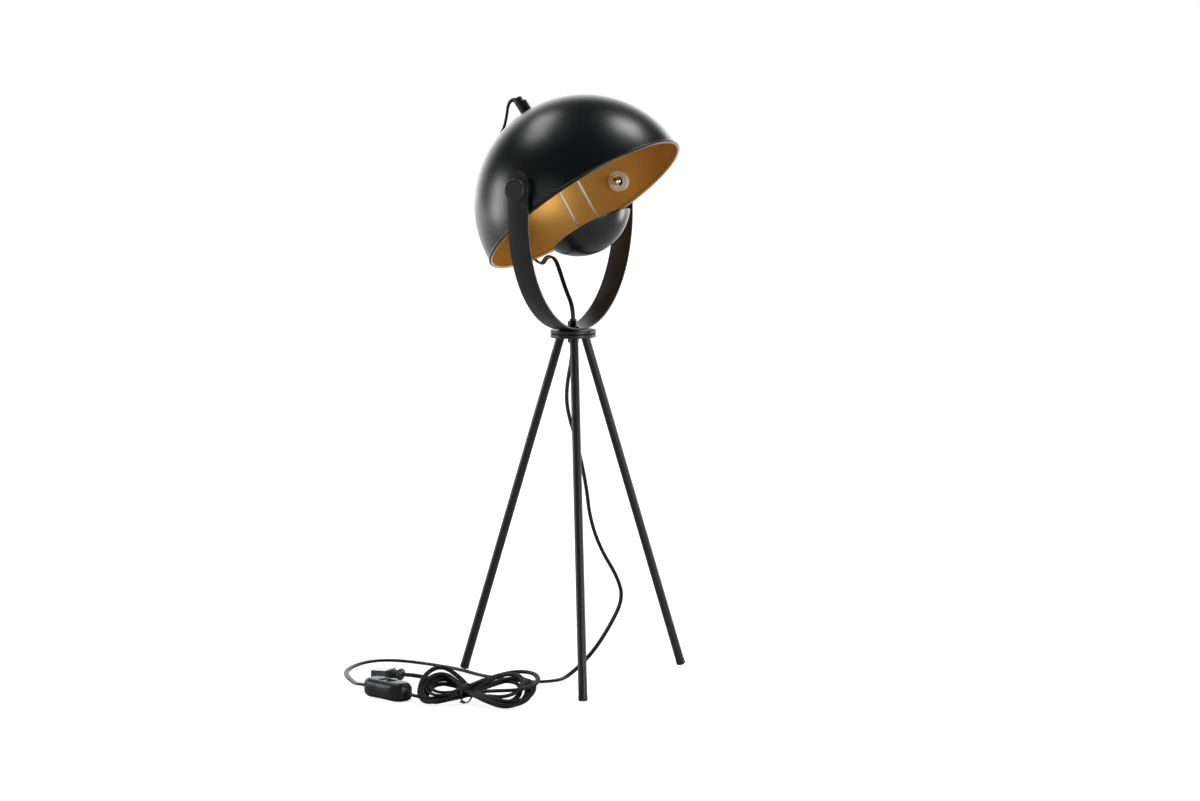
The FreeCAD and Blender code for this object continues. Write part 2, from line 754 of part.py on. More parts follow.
plug_tail = (-91.0, 168.0)
plug_heading = 96.5
plug_axis = plug_height / 2
plug_x = math.cos(math.radians(plug_heading))
plug_y = math.sin(math.radians(plug_heading))
plug_lead_route = [
    (plug_tail[0], plug_tail[1], plug_axis), (plug_tail[0] - 14 * plug_x, plug_tail[1] - 14 * plug_y, plug_axis),
    (-86.0, 139.0, 3.5), (-97.0, 124.0, floor_cord), (-113.0, 110.0, 4.5), (-135.0, 95.0, 9.0),
    (-158.0, 76.0, 14.0)]


# --- Hank: loops that lie on each other, drawn in at the tie ---
hank_stations = [  # y, middle x, half width, underside, top
    (96.0, -178.0, 9.0, 17.0, 31.0), (86.0, -181.0, 22.0, 8.0, 33.0), (66.0, -185.0, 31.0, 1.5, 32.0),
    (39.0, -181.0, 17.0, 3.0, 22.0), (15.0, -162.0, 35.0, 2.5, 29.0), (-8.0, -161.0, 42.0, 2.0, 30.0),
    (-24.0, -165.0, 34.0, 3.0, 27.0), (-35.0, -168.0, 12.0, 8.0, 18.0)]


def upright_ellipse(y, middle, half_width, low, high):
    """An ellipse across the hank. The wider of its two half axes comes first."""
    half_height = (high - low) / 2
    centre = V(middle, y, (high + low) / 2)
    if half_width >= half_height:
        ellipse = Part.Ellipse(centre + V(half_width, 0, 0), centre + V(0, 0, half_height), centre)
    else:
        ellipse = Part.Ellipse(centre + V(0, 0, half_height), centre + V(-half_width, 0, 0), centre)
    return Part.Wire(ellipse.toShape())


def cord_hank():
    return Part.makeLoft([upright_ellipse(*station) for station in hank_stations], True, False)


def hank_tie():
    y, middle, half_width, low, high = hank_stations[3]
    bands = []
    for grow in (tie_thickness, 0.0):
        face = Part.Face(upright_ellipse(y - tie_width / 2, middle, half_width + 1 + grow,
                                         low - 0.5 - grow, high + 0.5 + grow))
        bands.append(face.extrude(V(0, tie_width, 0)))
    return bands[0].cut(bands[1]).cut(cord_hank())


# --- Inline switch, modelled along X and then set down where the cord lies ---
def on_switch(shape):
    placed = shape.copy()
    placed.rotate(ORIGIN, Z_AXIS, switch_heading)
    half = switch_length / 2 + switch_collar_length
    placed.translate(V(switch_rear[0] + half * heading_x, switch_rear[1] + half * heading_y, 0))
    return placed


def switch_plan():
    """The case from above: drawn in at the middle, and tapered at both ends."""
    half, end = switch_width / 2, switch_end_width / 2
    waist = half - switch_waist
    corners = [V(switch_length / 2, -end, 0), V(switch_length / 2, end, 0), V(switch_shoulder, half, 0),
               V(-switch_shoulder, half, 0), V(-switch_length / 2, end, 0), V(-switch_length / 2, -end, 0),
               V(-switch_shoulder, -half, 0), V(switch_shoulder, -half, 0)]
    edges = []
    for here, there in zip(corners, corners[1:] + corners[:1]):
        if here.x == -there.x and here.y == there.y:
            middle = V(0, math.copysign(waist, here.y), 0)
            edges.append(Part.Arc(here, middle, there).toShape())
        else:
            edges.append(Part.LineSegment(here, there).toShape())
    return Part.Face(Part.Wire(edges))


def switch_body():
    body = switch_plan().extrude(V(0, 0, switch_height))
    shoulders = [e for e in upright_edges(body) if abs(e.BoundBox.XMax) < switch_length / 2 - 1e-6]
    body = body.makeFillet(switch_shoulder_round, shoulders)
    ends = [e for e in upright_edges(body) if abs(e.BoundBox.XMax) > switch_length / 2 - 1e-6]
    body = body.makeFillet(switch_end_round, ends)
    body = body.makeFillet(switch_top_round, edges_at(body, switch_height))
    body = body.makeFillet(switch_bottom_round, edges_at(body, 0))
    overall = switch_length + 2 * switch_collar_length
    collars = Part.makeCylinder(switch_collar_radius, overall, V(-overall / 2, 0, switch_split_height), X_AXIS)
    return body.fuse(collars).removeSplitter()


def half_space(low, high):
    return Part.makeBox(2 * switch_length, 2 * switch_width, high - low,
                        V(-switch_length, -switch_width, low))


def at_screws(shape):
    copies = []
    for side in (-1, 1):
        copy = shape.copy()
        copy.translate(V(side * switch_screw_spread, 0, 0))
        copies.append(copy)
    return copies


def switch_lower_case():
    case = switch_body().common(half_space(0, switch_split_height))
    recess = disc(switch_screw_head_radius + hole_gap, 0, switch_screw_recess)
    hole = disc(switch_screw_radius + hole_gap, 0, switch_split_height)
    return case.cut(at_screws(recess.fuse(hole)))


def switch_upper_case():
    case = switch_body().common(half_space(switch_split_height, switch_height))
    length = 2 * (rocker_swing_radius + 4 * face_gap)
    width = rocker_width + 6 * face_gap
    lowest = math.asin(rocker_depth / rocker_swing_radius) + math.radians(rocker_half_swing)
    floor = rocker_pivot_height - rocker_swing_radius * math.sin(lowest) - 3 * face_gap
    pocket = Part.makeBox(length, width, switch_height, V(-length / 2, -width / 2, floor))
    pins = rocker_width / 2 + rocker_pin_reach + 3 * face_gap
    sockets = Part.makeCylinder(rocker_pin_radius + running_gap, 2 * pins,
                                V(0, -pins, rocker_pivot_height), Y_AXIS)
    holes = disc(switch_screw_radius + thread_gap, switch_split_height,
                 switch_screw_recess + switch_screw_length - switch_screw_head_height)
    return case.cut(pocket).cut(sockets).cut(at_screws(holes))


def switch_screws():
    head_base = switch_screw_recess - switch_screw_head_height
    screw = disc(switch_screw_head_radius, head_base, switch_screw_recess)
    shank = disc(switch_screw_radius, head_base, head_base + switch_screw_length)
    return Part.makeCompound([on_switch(s) for s in at_screws(screw.fuse(shank))])


def switch_rocker():
    """A V-topped rocker, pressed down at its rear end."""
    swing = rocker_swing_radius
    slope = math.tan(math.radians(rocker_half_swing))
    end_low = math.sqrt(swing ** 2 - rocker_depth ** 2)
    tip = rocker_centre_rise + swing * slope
    reach = math.sqrt(swing ** 2 - tip ** 2)
    side = outline((-reach, tip), (0, rocker_centre_rise), (reach, tip),
                   ((swing, 0), (end_low, -rocker_depth)), (-end_low, -rocker_depth),
                   ((-swing, 0), (-reach, tip)))
    body = side.extrude(V(0, rocker_width, 0))
    body.translate(V(0, -rocker_width / 2, 0))
    pin = rocker_width / 2 + rocker_pin_reach
    pins = Part.makeCylinder(rocker_pin_radius, 2 * pin, V(0, -pin, 0), Y_AXIS)
    rocker = body.fuse(pins)
    rocker.rotate(ORIGIN, Y_AXIS, -rocker_half_swing)
    rocker.translate(V(0, 0, rocker_pivot_height))
    return on_switch(rocker)


# --- Plug, modelled along X with its tail at the origin ---
def on_plug(shape):
    placed = shape.copy()
    placed.rotate(ORIGIN, Z_AXIS, plug_heading)
    placed.translate(V(plug_tail[0], plug_tail[1], plug_axis))
    return placed


def across_plug(x, half_width, half_height):
    centre = V(x, 0, 0)
    ellipse = Part.Ellipse(centre + V(0, half_width, 0), centre + V(0, 0, half_height), centre)
    return Part.Wire(ellipse.toShape())


def plug_disc(start, length, width, height):
    return Part.Face(across_plug(start, width / 2, height / 2)).extrude(V(length, 0, 0))


def plug_body():
    """A moulded plug: a finger stop at the cord, a ribbed waist to hold it by, and a flat front."""
    waist = [across_plug(plug_collar_length, 0.42 * plug_width, 0.42 * plug_height),
             across_plug(plug_collar_length + 2, plug_waist_width / 2, plug_waist_height / 2),
             across_plug(plug_grip_length - 1.5, plug_waist_width / 2, plug_waist_height / 2),
             across_plug(plug_grip_length, 0.45 * plug_flange_width, 0.45 * plug_flange_height)]
    tail = Part.makeLoft([across_plug(0, 4.6, 4.2), across_plug(1.5, plug_width / 2, plug_height / 2)],
                         True, True)
    collar = plug_disc(1.5, plug_collar_length - 1.5, plug_width, plug_height)
    pitch = (plug_grip_length - plug_collar_length - 2) / plug_rib_count
    ribs = [plug_disc(plug_collar_length + 1 + (i + 0.25) * pitch, pitch / 2,
                      plug_waist_width + 2 * plug_rib_rise, plug_waist_height + 2 * plug_rib_rise)
            for i in range(plug_rib_count)]
    front = rounded_block(plug_flange_height, plug_flange_width, 0, plug_flange_length, 3.0)
    front.rotate(ORIGIN, Y_AXIS, 90)
    front.translate(V(plug_grip_length, 0, 0))
    return on_plug(tail.fuse([collar, Part.makeLoft(waist, True, False), front] + ribs).removeSplitter())


def plug_blades():
    front = plug_grip_length + plug_flange_length
    blades = []
    for side in (-1, 1):
        blade = Part.makeBox(blade_length, blade_thickness, blade_width,
                             V(front, side * blade_spacing / 2 - blade_thickness / 2, -blade_width / 2))
        tip = [e for e in blade.Edges
               if e.BoundBox.XMin > front + blade_length - 1e-6 and e.BoundBox.ZLength < 1e-6]
        blades.append(on_plug(blade.makeChamfer(blade_thickness / 3, tip)))
    return Part.makeCompound(blades)


def blade_cover():
    """A thin cap pushed over the blades, its far edges chamfered."""
    front = plug_grip_length + plug_flange_length
    block = Part.makeBox(cover_length, 2 * cover_half_width, 2 * cover_half_height,
                         V(front, -cover_half_width, -cover_half_height))
    far = [e for e in block.Edges if e.BoundBox.XMin > front + cover_length - 1e-6]
    block = block.makeChamfer(2 * cover_wall, far)
    hollow = Part.makeBox(cover_length - cover_wall, 2 * (cover_half_width - cover_wall),
                          2 * (cover_half_height - cover_wall),
                          V(front, cover_wall - cover_half_width, cover_wall - cover_half_height))
    near = [e for e in hollow.Edges if e.BoundBox.XMin > front + cover_length - cover_wall - 1e-6]
    return on_plug(block.cut(hollow.makeChamfer(1.4 * cover_wall, near)))


# --- The lamp ---
def build_nodes():
    nodes = {
        "leg_plate": leg_plate(), "friction_washer": friction_washer(), "swivel_plate": swivel_plate(),
        "hub_nipple": hub_nipple(), "upper_washer": upper_washer(), "upper_nut": upper_nut(),
        "lower_washer": lower_washer(), "lower_nut": lower_nut(), "yoke": yoke(),
        "knob_washers": knob_washers(), "knob_left": knob(-1), "knob_right": knob(1),
        "anti_glare_bowl": in_shade(anti_glare_bowl()), "upper_cable": cord_tube(upper_route, "upper cable"),
        "lower_cable": cord_tube(lower_route, "lower cable"), "switch_lead": cord_tube(lead_route, "lead"),
        "plug_lead": cord_tube(plug_lead_route, "plug lead"), "cord_hank": cord_hank(),
        "hank_tie": hank_tie(), "switch_lower_case": on_switch(switch_lower_case()),
        "switch_upper_case": on_switch(switch_upper_case()), "switch_screws": switch_screws(),
        "switch_rocker": switch_rocker(), "plug_body": plug_body(), "plug_blades": plug_blades(),
        "blade_cover": blade_cover()}
    for name, azimuth in leg_azimuths.items():
        nodes["leg_" + name] = leg_tube(azimuth)
        nodes["foot_cap_" + name] = foot_cap(azimuth)
    for make in (shade, pivot_spacers, pivot_studs, inner_washers, cap_nuts, lampholder_cap,
                 lampholder_core, lampholder_skirt, screw_shell, centre_contact, clamp_ring, bracket_ring,
                 bracket_wire, cord_grip, cord_grip_clamp):
        nodes[make.__name__] = in_shade(make())
    return nodes


def footprint_middle(nodes):
    """The middle, along Y, of the lamp's box without its cord."""
    back = nodes["foot_cap_rear"].optimalBoundingBox().YMax
    front = nodes["shade"].optimalBoundingBox().YMin
    return (back + front) / 2


def export_nodes(nodes):
    os.makedirs("parts", exist_ok=True)
    shift = V(0, -footprint_middle(nodes), 0)
    print(f"moved by {shift.y:.3f} along Y; pivot at z = {pivot_height:.3f}")
    for name, shape in nodes.items():
        placed = shape.copy()
        placed.translate(shift)
        if not placed.isValid():
            print("not valid:", name)
        placed.exportStep(f"parts/{name}.step")


export_nodes(build_nodes())
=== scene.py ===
# %% [markdown]
# # A tabletop searchlight lamp
# The lamp is a tripod of three tubes, a strap bent to a U that turns on the hub, and a spun steel
# hemisphere that tilts between two knobs. Its working parts come from a mechanical model, which is loaded
# first and never moved. The cells below give those parts their visible surfaces: each piece is modelled
# where the model says it is, in metres, and rides on the body that carries it.

# %% Load the mechanical frame
import json
import math

import bmesh
import bpy
from mathutils import Matrix, Vector


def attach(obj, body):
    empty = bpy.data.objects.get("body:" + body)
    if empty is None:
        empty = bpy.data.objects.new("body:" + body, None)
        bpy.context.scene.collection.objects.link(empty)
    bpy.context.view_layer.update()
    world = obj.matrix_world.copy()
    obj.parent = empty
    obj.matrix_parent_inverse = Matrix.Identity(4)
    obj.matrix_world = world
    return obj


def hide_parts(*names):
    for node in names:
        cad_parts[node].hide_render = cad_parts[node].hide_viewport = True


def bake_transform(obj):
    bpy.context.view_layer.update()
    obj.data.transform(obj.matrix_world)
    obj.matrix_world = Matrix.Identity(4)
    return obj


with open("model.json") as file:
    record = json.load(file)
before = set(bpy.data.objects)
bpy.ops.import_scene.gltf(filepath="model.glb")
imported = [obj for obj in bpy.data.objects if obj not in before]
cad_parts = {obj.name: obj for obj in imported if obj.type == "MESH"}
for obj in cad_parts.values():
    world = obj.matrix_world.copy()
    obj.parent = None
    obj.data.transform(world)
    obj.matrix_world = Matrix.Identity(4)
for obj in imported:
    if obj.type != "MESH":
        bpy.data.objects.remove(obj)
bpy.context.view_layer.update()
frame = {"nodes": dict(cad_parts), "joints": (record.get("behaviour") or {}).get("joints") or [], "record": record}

MM = 0.001
joints = {joint["name"]: joint for joint in frame["joints"]}
nodes = frame["nodes"]

# %% [markdown]
# ## Where things are
# Three places carry the whole lamp. The hub's upright axis carries the tripod and the yoke. The pivot is
# the level axis that the shade tilts about. The shade's own frame has its origin at the pivot and its Z
# axis through the top of the dome, so the dome, the lampholder and the bowl can be turned about Z there
# and set down afterwards with one matrix.

# %% The hub, the pivot and the shade's own frame
pivot = Vector(joints["shade_tilt"]["pos_m"])
hub = Matrix.Translation((0, pivot.y, 0))
socket = next(mount for mount in frame["record"]["mounts"] if mount["name"] == "lamp_socket")
aim = Vector(socket["axis"])
in_shade = Matrix.Translation(pivot) @ Matrix.Rotation(math.atan2(aim.y, -aim.z), 4, "X")
print("pivot", [round(value, 4) for value in pivot], "aim", [round(value, 3) for value in aim])

# %% [markdown]
# ## Working by hand, in code
# Every piece starts as a primitive that is opened in edit mode, shaped there and closed again. An
# operator acts on everything that is selected, so each piece starts by clearing the selection. The two
# picking functions choose faces or points by where they are, as one would click on them.

# %% Open, pick and place
SMOOTH_ANGLE = math.radians(38)
WELD = 0.002 * MM


def clear():
    """Leave edit mode and deselect everything."""
    if bpy.context.object and bpy.context.object.mode != "OBJECT":
        bpy.ops.object.mode_set(mode="OBJECT")
    bpy.ops.object.select_all(action="DESELECT")


def opened(name):
    """Name the primitive that was just added and open it in edit mode, all selected."""
    piece = bpy.context.object
    piece.name = name
    piece.data.name = name
    bpy.ops.object.mode_set(mode="EDIT")
    bpy.ops.mesh.select_all(action="SELECT")
    return piece


def block(name, size, centre):
    """A box of a size and round a centre in millimetres, open in edit mode, all selected."""
    clear()
    bpy.ops.mesh.primitive_cube_add(size=1)
    piece = opened(name)
    bpy.ops.transform.resize(value=[value * MM for value in size], center_override=(0, 0, 0))
    bpy.ops.transform.translate(value=Vector(centre) * MM)
    return piece


def pick_faces(piece, test):
    """Select the faces whose centre and normal pass the test."""
    bpy.ops.mesh.select_mode(type="FACE")
    bpy.ops.mesh.select_all(action="DESELECT")
    mesh = bmesh.from_edit_mesh(piece.data)
    for face in mesh.faces:
        face.select_set(test(face.calc_center_median(), face.normal))
    bmesh.update_edit_mesh(piece.data)


def pick_points(piece, test):
    """Select the points whose place passes the test."""
    bpy.ops.mesh.select_mode(type="VERT")
    bpy.ops.mesh.select_all(action="DESELECT")
    mesh = bmesh.from_edit_mesh(piece.data)
    for point in mesh.verts:
        point.select_set(test(point.co))
    mesh.select_flush(True)
    bmesh.update_edit_mesh(piece.data)


def only(piece):
    """Make this piece the only one that is selected."""
    clear()
    piece.select_set(True)
    bpy.context.view_layer.objects.active = piece


def placed(piece, place):
    """Set a piece down in the lamp, with its place in its mesh."""
    only(piece)
    piece.matrix_world = place @ piece.matrix_world
    bpy.ops.object.transform_apply(location=True, rotation=True, scale=True)
    return piece


def apply_bevel(piece, width, segments, angle=40):
    """Round the edges that turn by more than an angle, as a tool or a coat of paint leaves them."""
    only(piece)
    bevel = piece.modifiers.new("edges", "BEVEL")
    bevel.width = width
    bevel.segments = segments
    bevel.limit_method = "ANGLE"
    bevel.angle_limit = math.radians(angle)
    bpy.ops.object.modifier_apply(modifier=bevel.name)


def finished(piece, body, slot, *finishes, replaces=()):
    """Smooth a piece, give it its finishes and the body that carries it. The slot is not used."""
    only(piece)
    bpy.ops.object.shade_smooth_by_angle(angle=SMOOTH_ANGLE)
    for look in finishes:
        piece.data.materials.append(look)
    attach(piece, body)
    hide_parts(*replaces)
    return piece


# %% [markdown]
# ## A lathe
# Most of this lamp is turned or spun. A lathe needs one outline: a plane is merged to a single point,
# the point is extruded from stop to stop, and the outline is spun once round Z. The start and the end of
# the turn then lie on each other, so doubles are merged before the normals are turned outwards.

# %% The lathe and its arcs
def arc(centre, radius, start, end, count):
    """Points (reach, height) of an arc, its angles in degrees from level."""
    angles = [math.radians(start + (end - start) * i / count) for i in range(count + 1)]
    return [(centre[0] + radius * math.cos(a), centre[1] + radius * math.sin(a)) for a in angles]


def turned(name, profile, steps, place=None):
    """A closed outline of (reach, height) points in millimetres, spun about Z."""
    clear()
    bpy.ops.mesh.primitive_plane_add(size=1 * MM)
    piece = opened(name)
    bpy.ops.mesh.merge(type="CENTER")
    stops = [Vector((reach * MM, 0, height * MM)) for reach, height in profile + profile[:1]]
    bpy.ops.transform.translate(value=stops[0])
    for here, there in zip(stops, stops[1:]):
        bpy.ops.mesh.extrude_region_move(TRANSFORM_OT_translate={"value": there - here})
    bpy.ops.mesh.select_all(action="SELECT")
    bpy.ops.mesh.spin(steps=steps, angle=2 * math.pi, center=(0, 0, 0), axis=(0, 0, 1))
    bpy.ops.mesh.select_all(action="SELECT")
    bpy.ops.mesh.remove_doubles(threshold=WELD)
    bpy.ops.mesh.dissolve_degenerate(threshold=WELD)
    bpy.ops.mesh.select_all(action="SELECT")
    bpy.ops.mesh.normals_make_consistent(inside=False)
    return placed(piece, place or Matrix())


# %% [markdown]
# ## Finishes
# A finish is a small tree of nodes. Colours are written as the sRGB values one would pick on a screen and
# turned to linear light once. Patterns read Object coordinates, which are metres here, so a noise of scale
# 1 / grain has that grain. Nearly every real surface has two of them: a slow cloud, where a coat or a melt
# came out a little darker, and a fine skin, which breaks up the gloss and lifts the surface.

# %% Colour and one node
def linear(colour):
    """An sRGB hex colour as linear RGBA."""
    parts = [int(colour[i:i + 2], 16) / 255 for i in (1, 3, 5)]
    return [part / 12.92 if part <= 0.04045 else ((part + 0.055) / 1.055) ** 2.4 for part in parts] + [1.0]


def cleared_tree(holder):
    """The empty node tree of a material or a world."""
    holder.use_nodes = True
    holder.node_tree.nodes.clear()
    return holder.node_tree


def add(tree, kind, settings=None, links=None):
    """A node with its settings, by property or socket, and its links: socket to (node, output)."""
    node = tree.nodes.new("ShaderNode" + kind)
    for name, value in (settings or {}).items():
        if isinstance(name, str) and hasattr(node, name):
            setattr(node, name, value)
        else:
            node.inputs[name].default_value = value
    for name, (source, output) in (links or {}).items():
        tree.links.new(source.outputs[output], node.inputs[name])
    return node


# %% A finish from its cloud and its skin
def finish(name, colours, roughness, cloud, skin=None, height=None, gloss_drifts=False, sockets=None):
    """A finish whose cloud moves the colour and whose skin moves the gloss and lifts the surface.

    cloud and skin are (grain in metres, detail). Without a skin the cloud does its work too, and
    gloss_drifts leaves the gloss to the cloud. height is the skin's, in metres.
    """
    material = bpy.data.materials.new(name)
    tree = cleared_tree(material)
    place = add(tree, "TexCoord")
    noises = [add(tree, "TexNoise", {"Scale": 1 / grain, "Detail": detail}, {"Vector": (place, "Object")})
              for grain, detail in [cloud] + ([skin] if skin else [])]
    slow, fine = noises[0], noises[-1]
    first, second = [linear(colour) for colour in colours]
    # sockets 6 and 7 of a Mix node are its two colours, and its output 2 is the blend
    colour = add(tree, "Mix", {"data_type": "RGBA", 6: first, 7: second}, {"Factor": (slow, "Fac")})
    gloss = add(tree, "MapRange", {"To Min": roughness[0], "To Max": roughness[1]},
                {"Value": (slow if gloss_drifts else fine, "Fac")})
    shader = add(tree, "BsdfPrincipled", sockets, {"Base Color": (colour, 2), "Roughness": (gloss, "Result")})
    if height:
        relief = add(tree, "Bump", {"Strength": 1, "Distance": height}, {"Height": (fine, "Fac")})
        tree.links.new(relief.outputs["Normal"], shader.inputs["Normal"])
    add(tree, "OutputMaterial", links={"Surface": (shader, "BSDF")})
    return material


# %% [markdown]
# ### Powder coat
# The strap, the hub and the legs are steel tube and plate with black polyester powder baked on. The melt
# leaves a fine skin of bumps about half a millimetre apart, which breaks a reflection into a soft grey
# sheen. Dark colour, fairly rough, and a bump with that spacing.

# %% Powder coat
coat = finish("powder_coated_steel", ("#111210", "#161715"), roughness=(0.37, 0.52),
              cloud=(35 * MM, 2), skin=(0.45 * MM, 3), height=0.035 * MM)
print(coat.name)

# %% [markdown]
# ### The shade's two coats
# The spun dome is sprayed satin black outside, smooth enough for broad soft highlights, with the faint
# orange peel of wet paint a few millimetres wide. Its gloss drifts slowly, as the paint lay thicker or
# thinner. Inside it is satin gold: fine metal flake in lacquer, so it is partly metallic but rough, and a
# little uneven where the gun passed. The bowl has the black coat too, a little glossier.

# %% Satin black and satin gold
peel, thickness = (2.4 * MM, 2), (45 * MM, 3)
dome_black = finish("satin_black_lacquer", ("#0B0D0F", "#0F1113"), roughness=(0.29, 0.34),
                    cloud=thickness, skin=peel, height=0.012 * MM, gloss_drifts=True)
bowl_black = finish("satin_black_bowl", ("#0D0E0D", "#111210"), roughness=(0.24, 0.30),
                    cloud=thickness, skin=peel, height=0.012 * MM, gloss_drifts=True)
gold = finish("satin_gold_lacquer", ("#CB9746", "#D4A051"), roughness=(0.36, 0.5),
              cloud=(30 * MM, 2), skin=(0.5 * MM, 2), height=0.02 * MM, sockets={"Metallic": 0.6})
print(dome_black.name, bowl_black.name, gold.name)

# %% [markdown]
# ### Plated metal, and painted highlights and reflections
# Metal has no skin of its own. The fine marks of drawing, stamping or plating move its colour, its gloss
# and its surface together, and its colour is its reflection, at the default IOR. Nickel plate is a warm
# grey, chrome is bluer and mirror bright, and brass carries the current. Inside the shade a real mirror
# would show nothing but gold, yet the bracket's wire and the washers look nearly white: that white is a
# painted reflection, given to them as a pale colour that is hardly metallic. The bead's lowest line gets
# a painted highlight, a pale colour that is partly metallic. The hub's nuts and washers are plated with
# black zinc, which is glossier than the powder coat round them.

# %% Nickel, chrome, zinc and brass, and the painted highlight and reflections
def bright_metal(name, colours, roughness, marks, metallic=1.0):
    """Metal with marks of a size in metres."""
    return finish(name, colours, roughness, cloud=(marks, 4), height=0.004 * MM,
                  sockets={"Metallic": metallic})


nickel = bright_metal("nickel_plate", ("#E4E2DC", "#D2CFC7"), (0.24, 0.36), 1.5 * MM)
# painted reflection: the wire gets a near-white, hardly metallic colour for the bright light it reflects
wire_painted_white_reflection = bright_metal("nickel_wire_painted_reflection", ("#FFFFFF", "#F4F3EF"), (0.3, 0.4), 1.5 * MM, metallic=0.05)
# painted reflection: the washers get a near-white, hardly metallic colour for the light they reflect
washer_painted_reflection = bright_metal("washer_painted_reflection", ("#FFFFFF", "#A9A7A0"), (0.2, 0.4), 2.2 * MM, metallic=0.1)
# painted highlight: a pale, partly metallic colour for the bead's lowest line
bead_painted_highlight = bright_metal("bead_painted_highlight_line", ("#D9D8D2", "#C6C4BC"), (0.3, 0.4), 2 * MM, metallic=0.4)
chrome = bright_metal("chrome_plate", ("#DADCDD", "#C8CACC"), (0.06, 0.12), 4 * MM)
black_zinc = bright_metal("black_zinc_plate", ("#2B2B2D", "#1D1D1F"), (0.16, 0.28), 1.2 * MM)
brass = bright_metal("pressed_brass", ("#C9A459", "#AB8440"), (0.2, 0.34), 2 * MM)
print(len(bpy.data.materials), "finishes so far")

# %% [markdown]
# ### Plastics
# Knobs and switch are moulded from ABS in a spark-eroded mould, which prints a fine matt grain. The feet
# are softer polythene and the cord grip is nylon. The cord, the tie and the plug are soft PVC with a
# coarser grain, and the cord shines least. The lampholder is phenolic resin, hard and glossy, and its core
# is glazed porcelain. The plug's cover is clear grey polystyrene, seen through only a little. Its haze has
# no relief.

# %% Moulded plastics and glaze
def moulded(name, colours, roughness, texture, height, sockets=None):
    """Plastic or glaze with a fine texture, its grain and height in metres."""
    return finish(name, colours, roughness, cloud=(14 * MM, 2), skin=(texture, 3), height=height,
                  sockets=sockets)


less_shine, least_shine = {"Specular IOR Level": 0.35}, {"Specular IOR Level": 0.22}
knob_plastic = moulded("knob_abs", ("#1C1D1F", "#222325"), (0.38, 0.5), 0.5 * MM, 0.012 * MM)
foot_plastic = moulded("foot_polythene", ("#151515", "#1B1B1B"), (0.45, 0.6), 0.7 * MM, 0.02 * MM)
nylon = moulded("grip_nylon", ("#18191A", "#202122"), (0.4, 0.52), 0.8 * MM, 0.015 * MM)
phenolic = moulded("phenolic_resin", ("#161413", "#1F1B19"), (0.16, 0.28), 2 * MM, 0.004 * MM)
porcelain = moulded("glazed_porcelain", ("#DAD7CC", "#E4E1D8"), (0.12, 0.2), 3 * MM, 0.01 * MM)
switch_abs = moulded("switch_abs", ("#121315", "#181A1D"), (0.34, 0.46), 0.6 * MM, 0.01 * MM, less_shine)
plug_pvc = moulded("plug_pvc", ("#1E1E1E", "#272727"), (0.36, 0.5), 0.9 * MM, 0.02 * MM)
tie_pvc = moulded("tie_pvc", ("#121213", "#1A1A1B"), (0.32, 0.45), 0.9 * MM, 0.02 * MM)
cover_grey = finish("smoky_polystyrene", ("#50555A", "#5E6368"), roughness=(0.18, 0.32),
                    cloud=(3 * MM, 2), sockets={"IOR": 1.59, "Transmission Weight": 0.3})
cord_pvc = moulded("cord_pvc", ("#111111", "#181819"), (0.38, 0.5), 1.2 * MM, 0.012 * MM, least_shine)
print(len(bpy.data.materials), "finishes in all")

# %% [markdown]
# ## The camera
# The lamp is looked at from the side of its left knob and a little from in front, slightly from above and
# with a long lens, so the tripod's legs hardly converge. The camera's turn is given as three angles: its
# heading about Z, how far it looks down, and a slight roll.

# %% Camera
camera_place = Vector((-3.3620, -1.7351, 0.6941))
camera_heading, camera_look_down, camera_roll = -63.349, 5.837, -0.435
focal_length, sensor_width = 103.805, 36
lens = bpy.data.cameras.new("camera")
lens.sensor_width = sensor_width
lens.lens = focal_length
camera = bpy.data.objects.new("camera", lens)
bpy.context.scene.collection.objects.link(camera)
camera.matrix_world = (Matrix.Translation(camera_place)
                       @ Matrix.Rotation(math.radians(camera_heading), 4, "Z")
                       @ Matrix.Rotation(math.radians(90 - camera_look_down), 4, "X")
                       @ Matrix.Rotation(math.radians(camera_roll), 4, "Z"))
bpy.context.scene.camera = camera
print("camera", round((camera_place - pivot).length, 2), "m from the pivot")

# %% [markdown]
# ## Cords
# A flat two-core cord is two round cores side by side in one sheath, 5.6 mm wide and 3 mm thick, with a
# groove where they meet. It leaves the shade's grip, loops down behind the dome into the hub, runs on
# between the legs to the switch, and ends in a tied hank and the plug. Each route is a list of points that
# a smooth NURBS spline follows, in millimetres from the hub's axis.

# %% The routes
upper_route = [
    (0, 57.35, 625.14), (0, 66.9, 638.6), (0.6, 77.8, 634.8), (2.0, 80.8, 619.0), (3.5, 86.0, 603.0),
    (10.0, 101.9, 585.1), (26.4, 112.8, 545.4), (44.0, 108.9, 505.1), (60.0, 92.9, 473.1),
    (54.0, 67.0, 450.5), (34.0, 49.0, 464.5), (19.0, 31.0, 463.0), (10.5, 20.0, 446.0),
    (5.0, 11.5, 430.0), (0, 0, 411.05), (0, 0, 398.05)]
lower_route = [
    (0, 0, 398.05), (0, 0, 362), (-3.6, 7, 325), (-3.4, 6.8, 298), (1.5, -3, 262), (5.8, -11.6, 215),
    (7.4, -14.9, 178), (12.5, -25, 144), (21, -42, 112), (23.5, -47, 88), (17, -34, 58), (8, -16, 27),
    (-8, 5, 2.8), (-38, 4, 2.8), (-57, 24, 2.8), (-54, 56, 2.8), (-44, 96, 2.8), (-21, 134, 2.8),
    (-10, 165, 2.8), (-1, 203, 2.8), (0, 235, 2.8), (-17, 254, 2.8), (-48, 256, 2.8), (-84, 246, 2.8),
    (-113, 226, 2.8), (-138, 203, 2.8), (-157.5, 186.5, 5.5), (-171.8, 176, 9), (-177, 163, 9)]
lead_route = [(-203.6, 96.1, 9), (-208.4, 84, 9), (-206.5, 69, 6), (-197, 55, 5)]
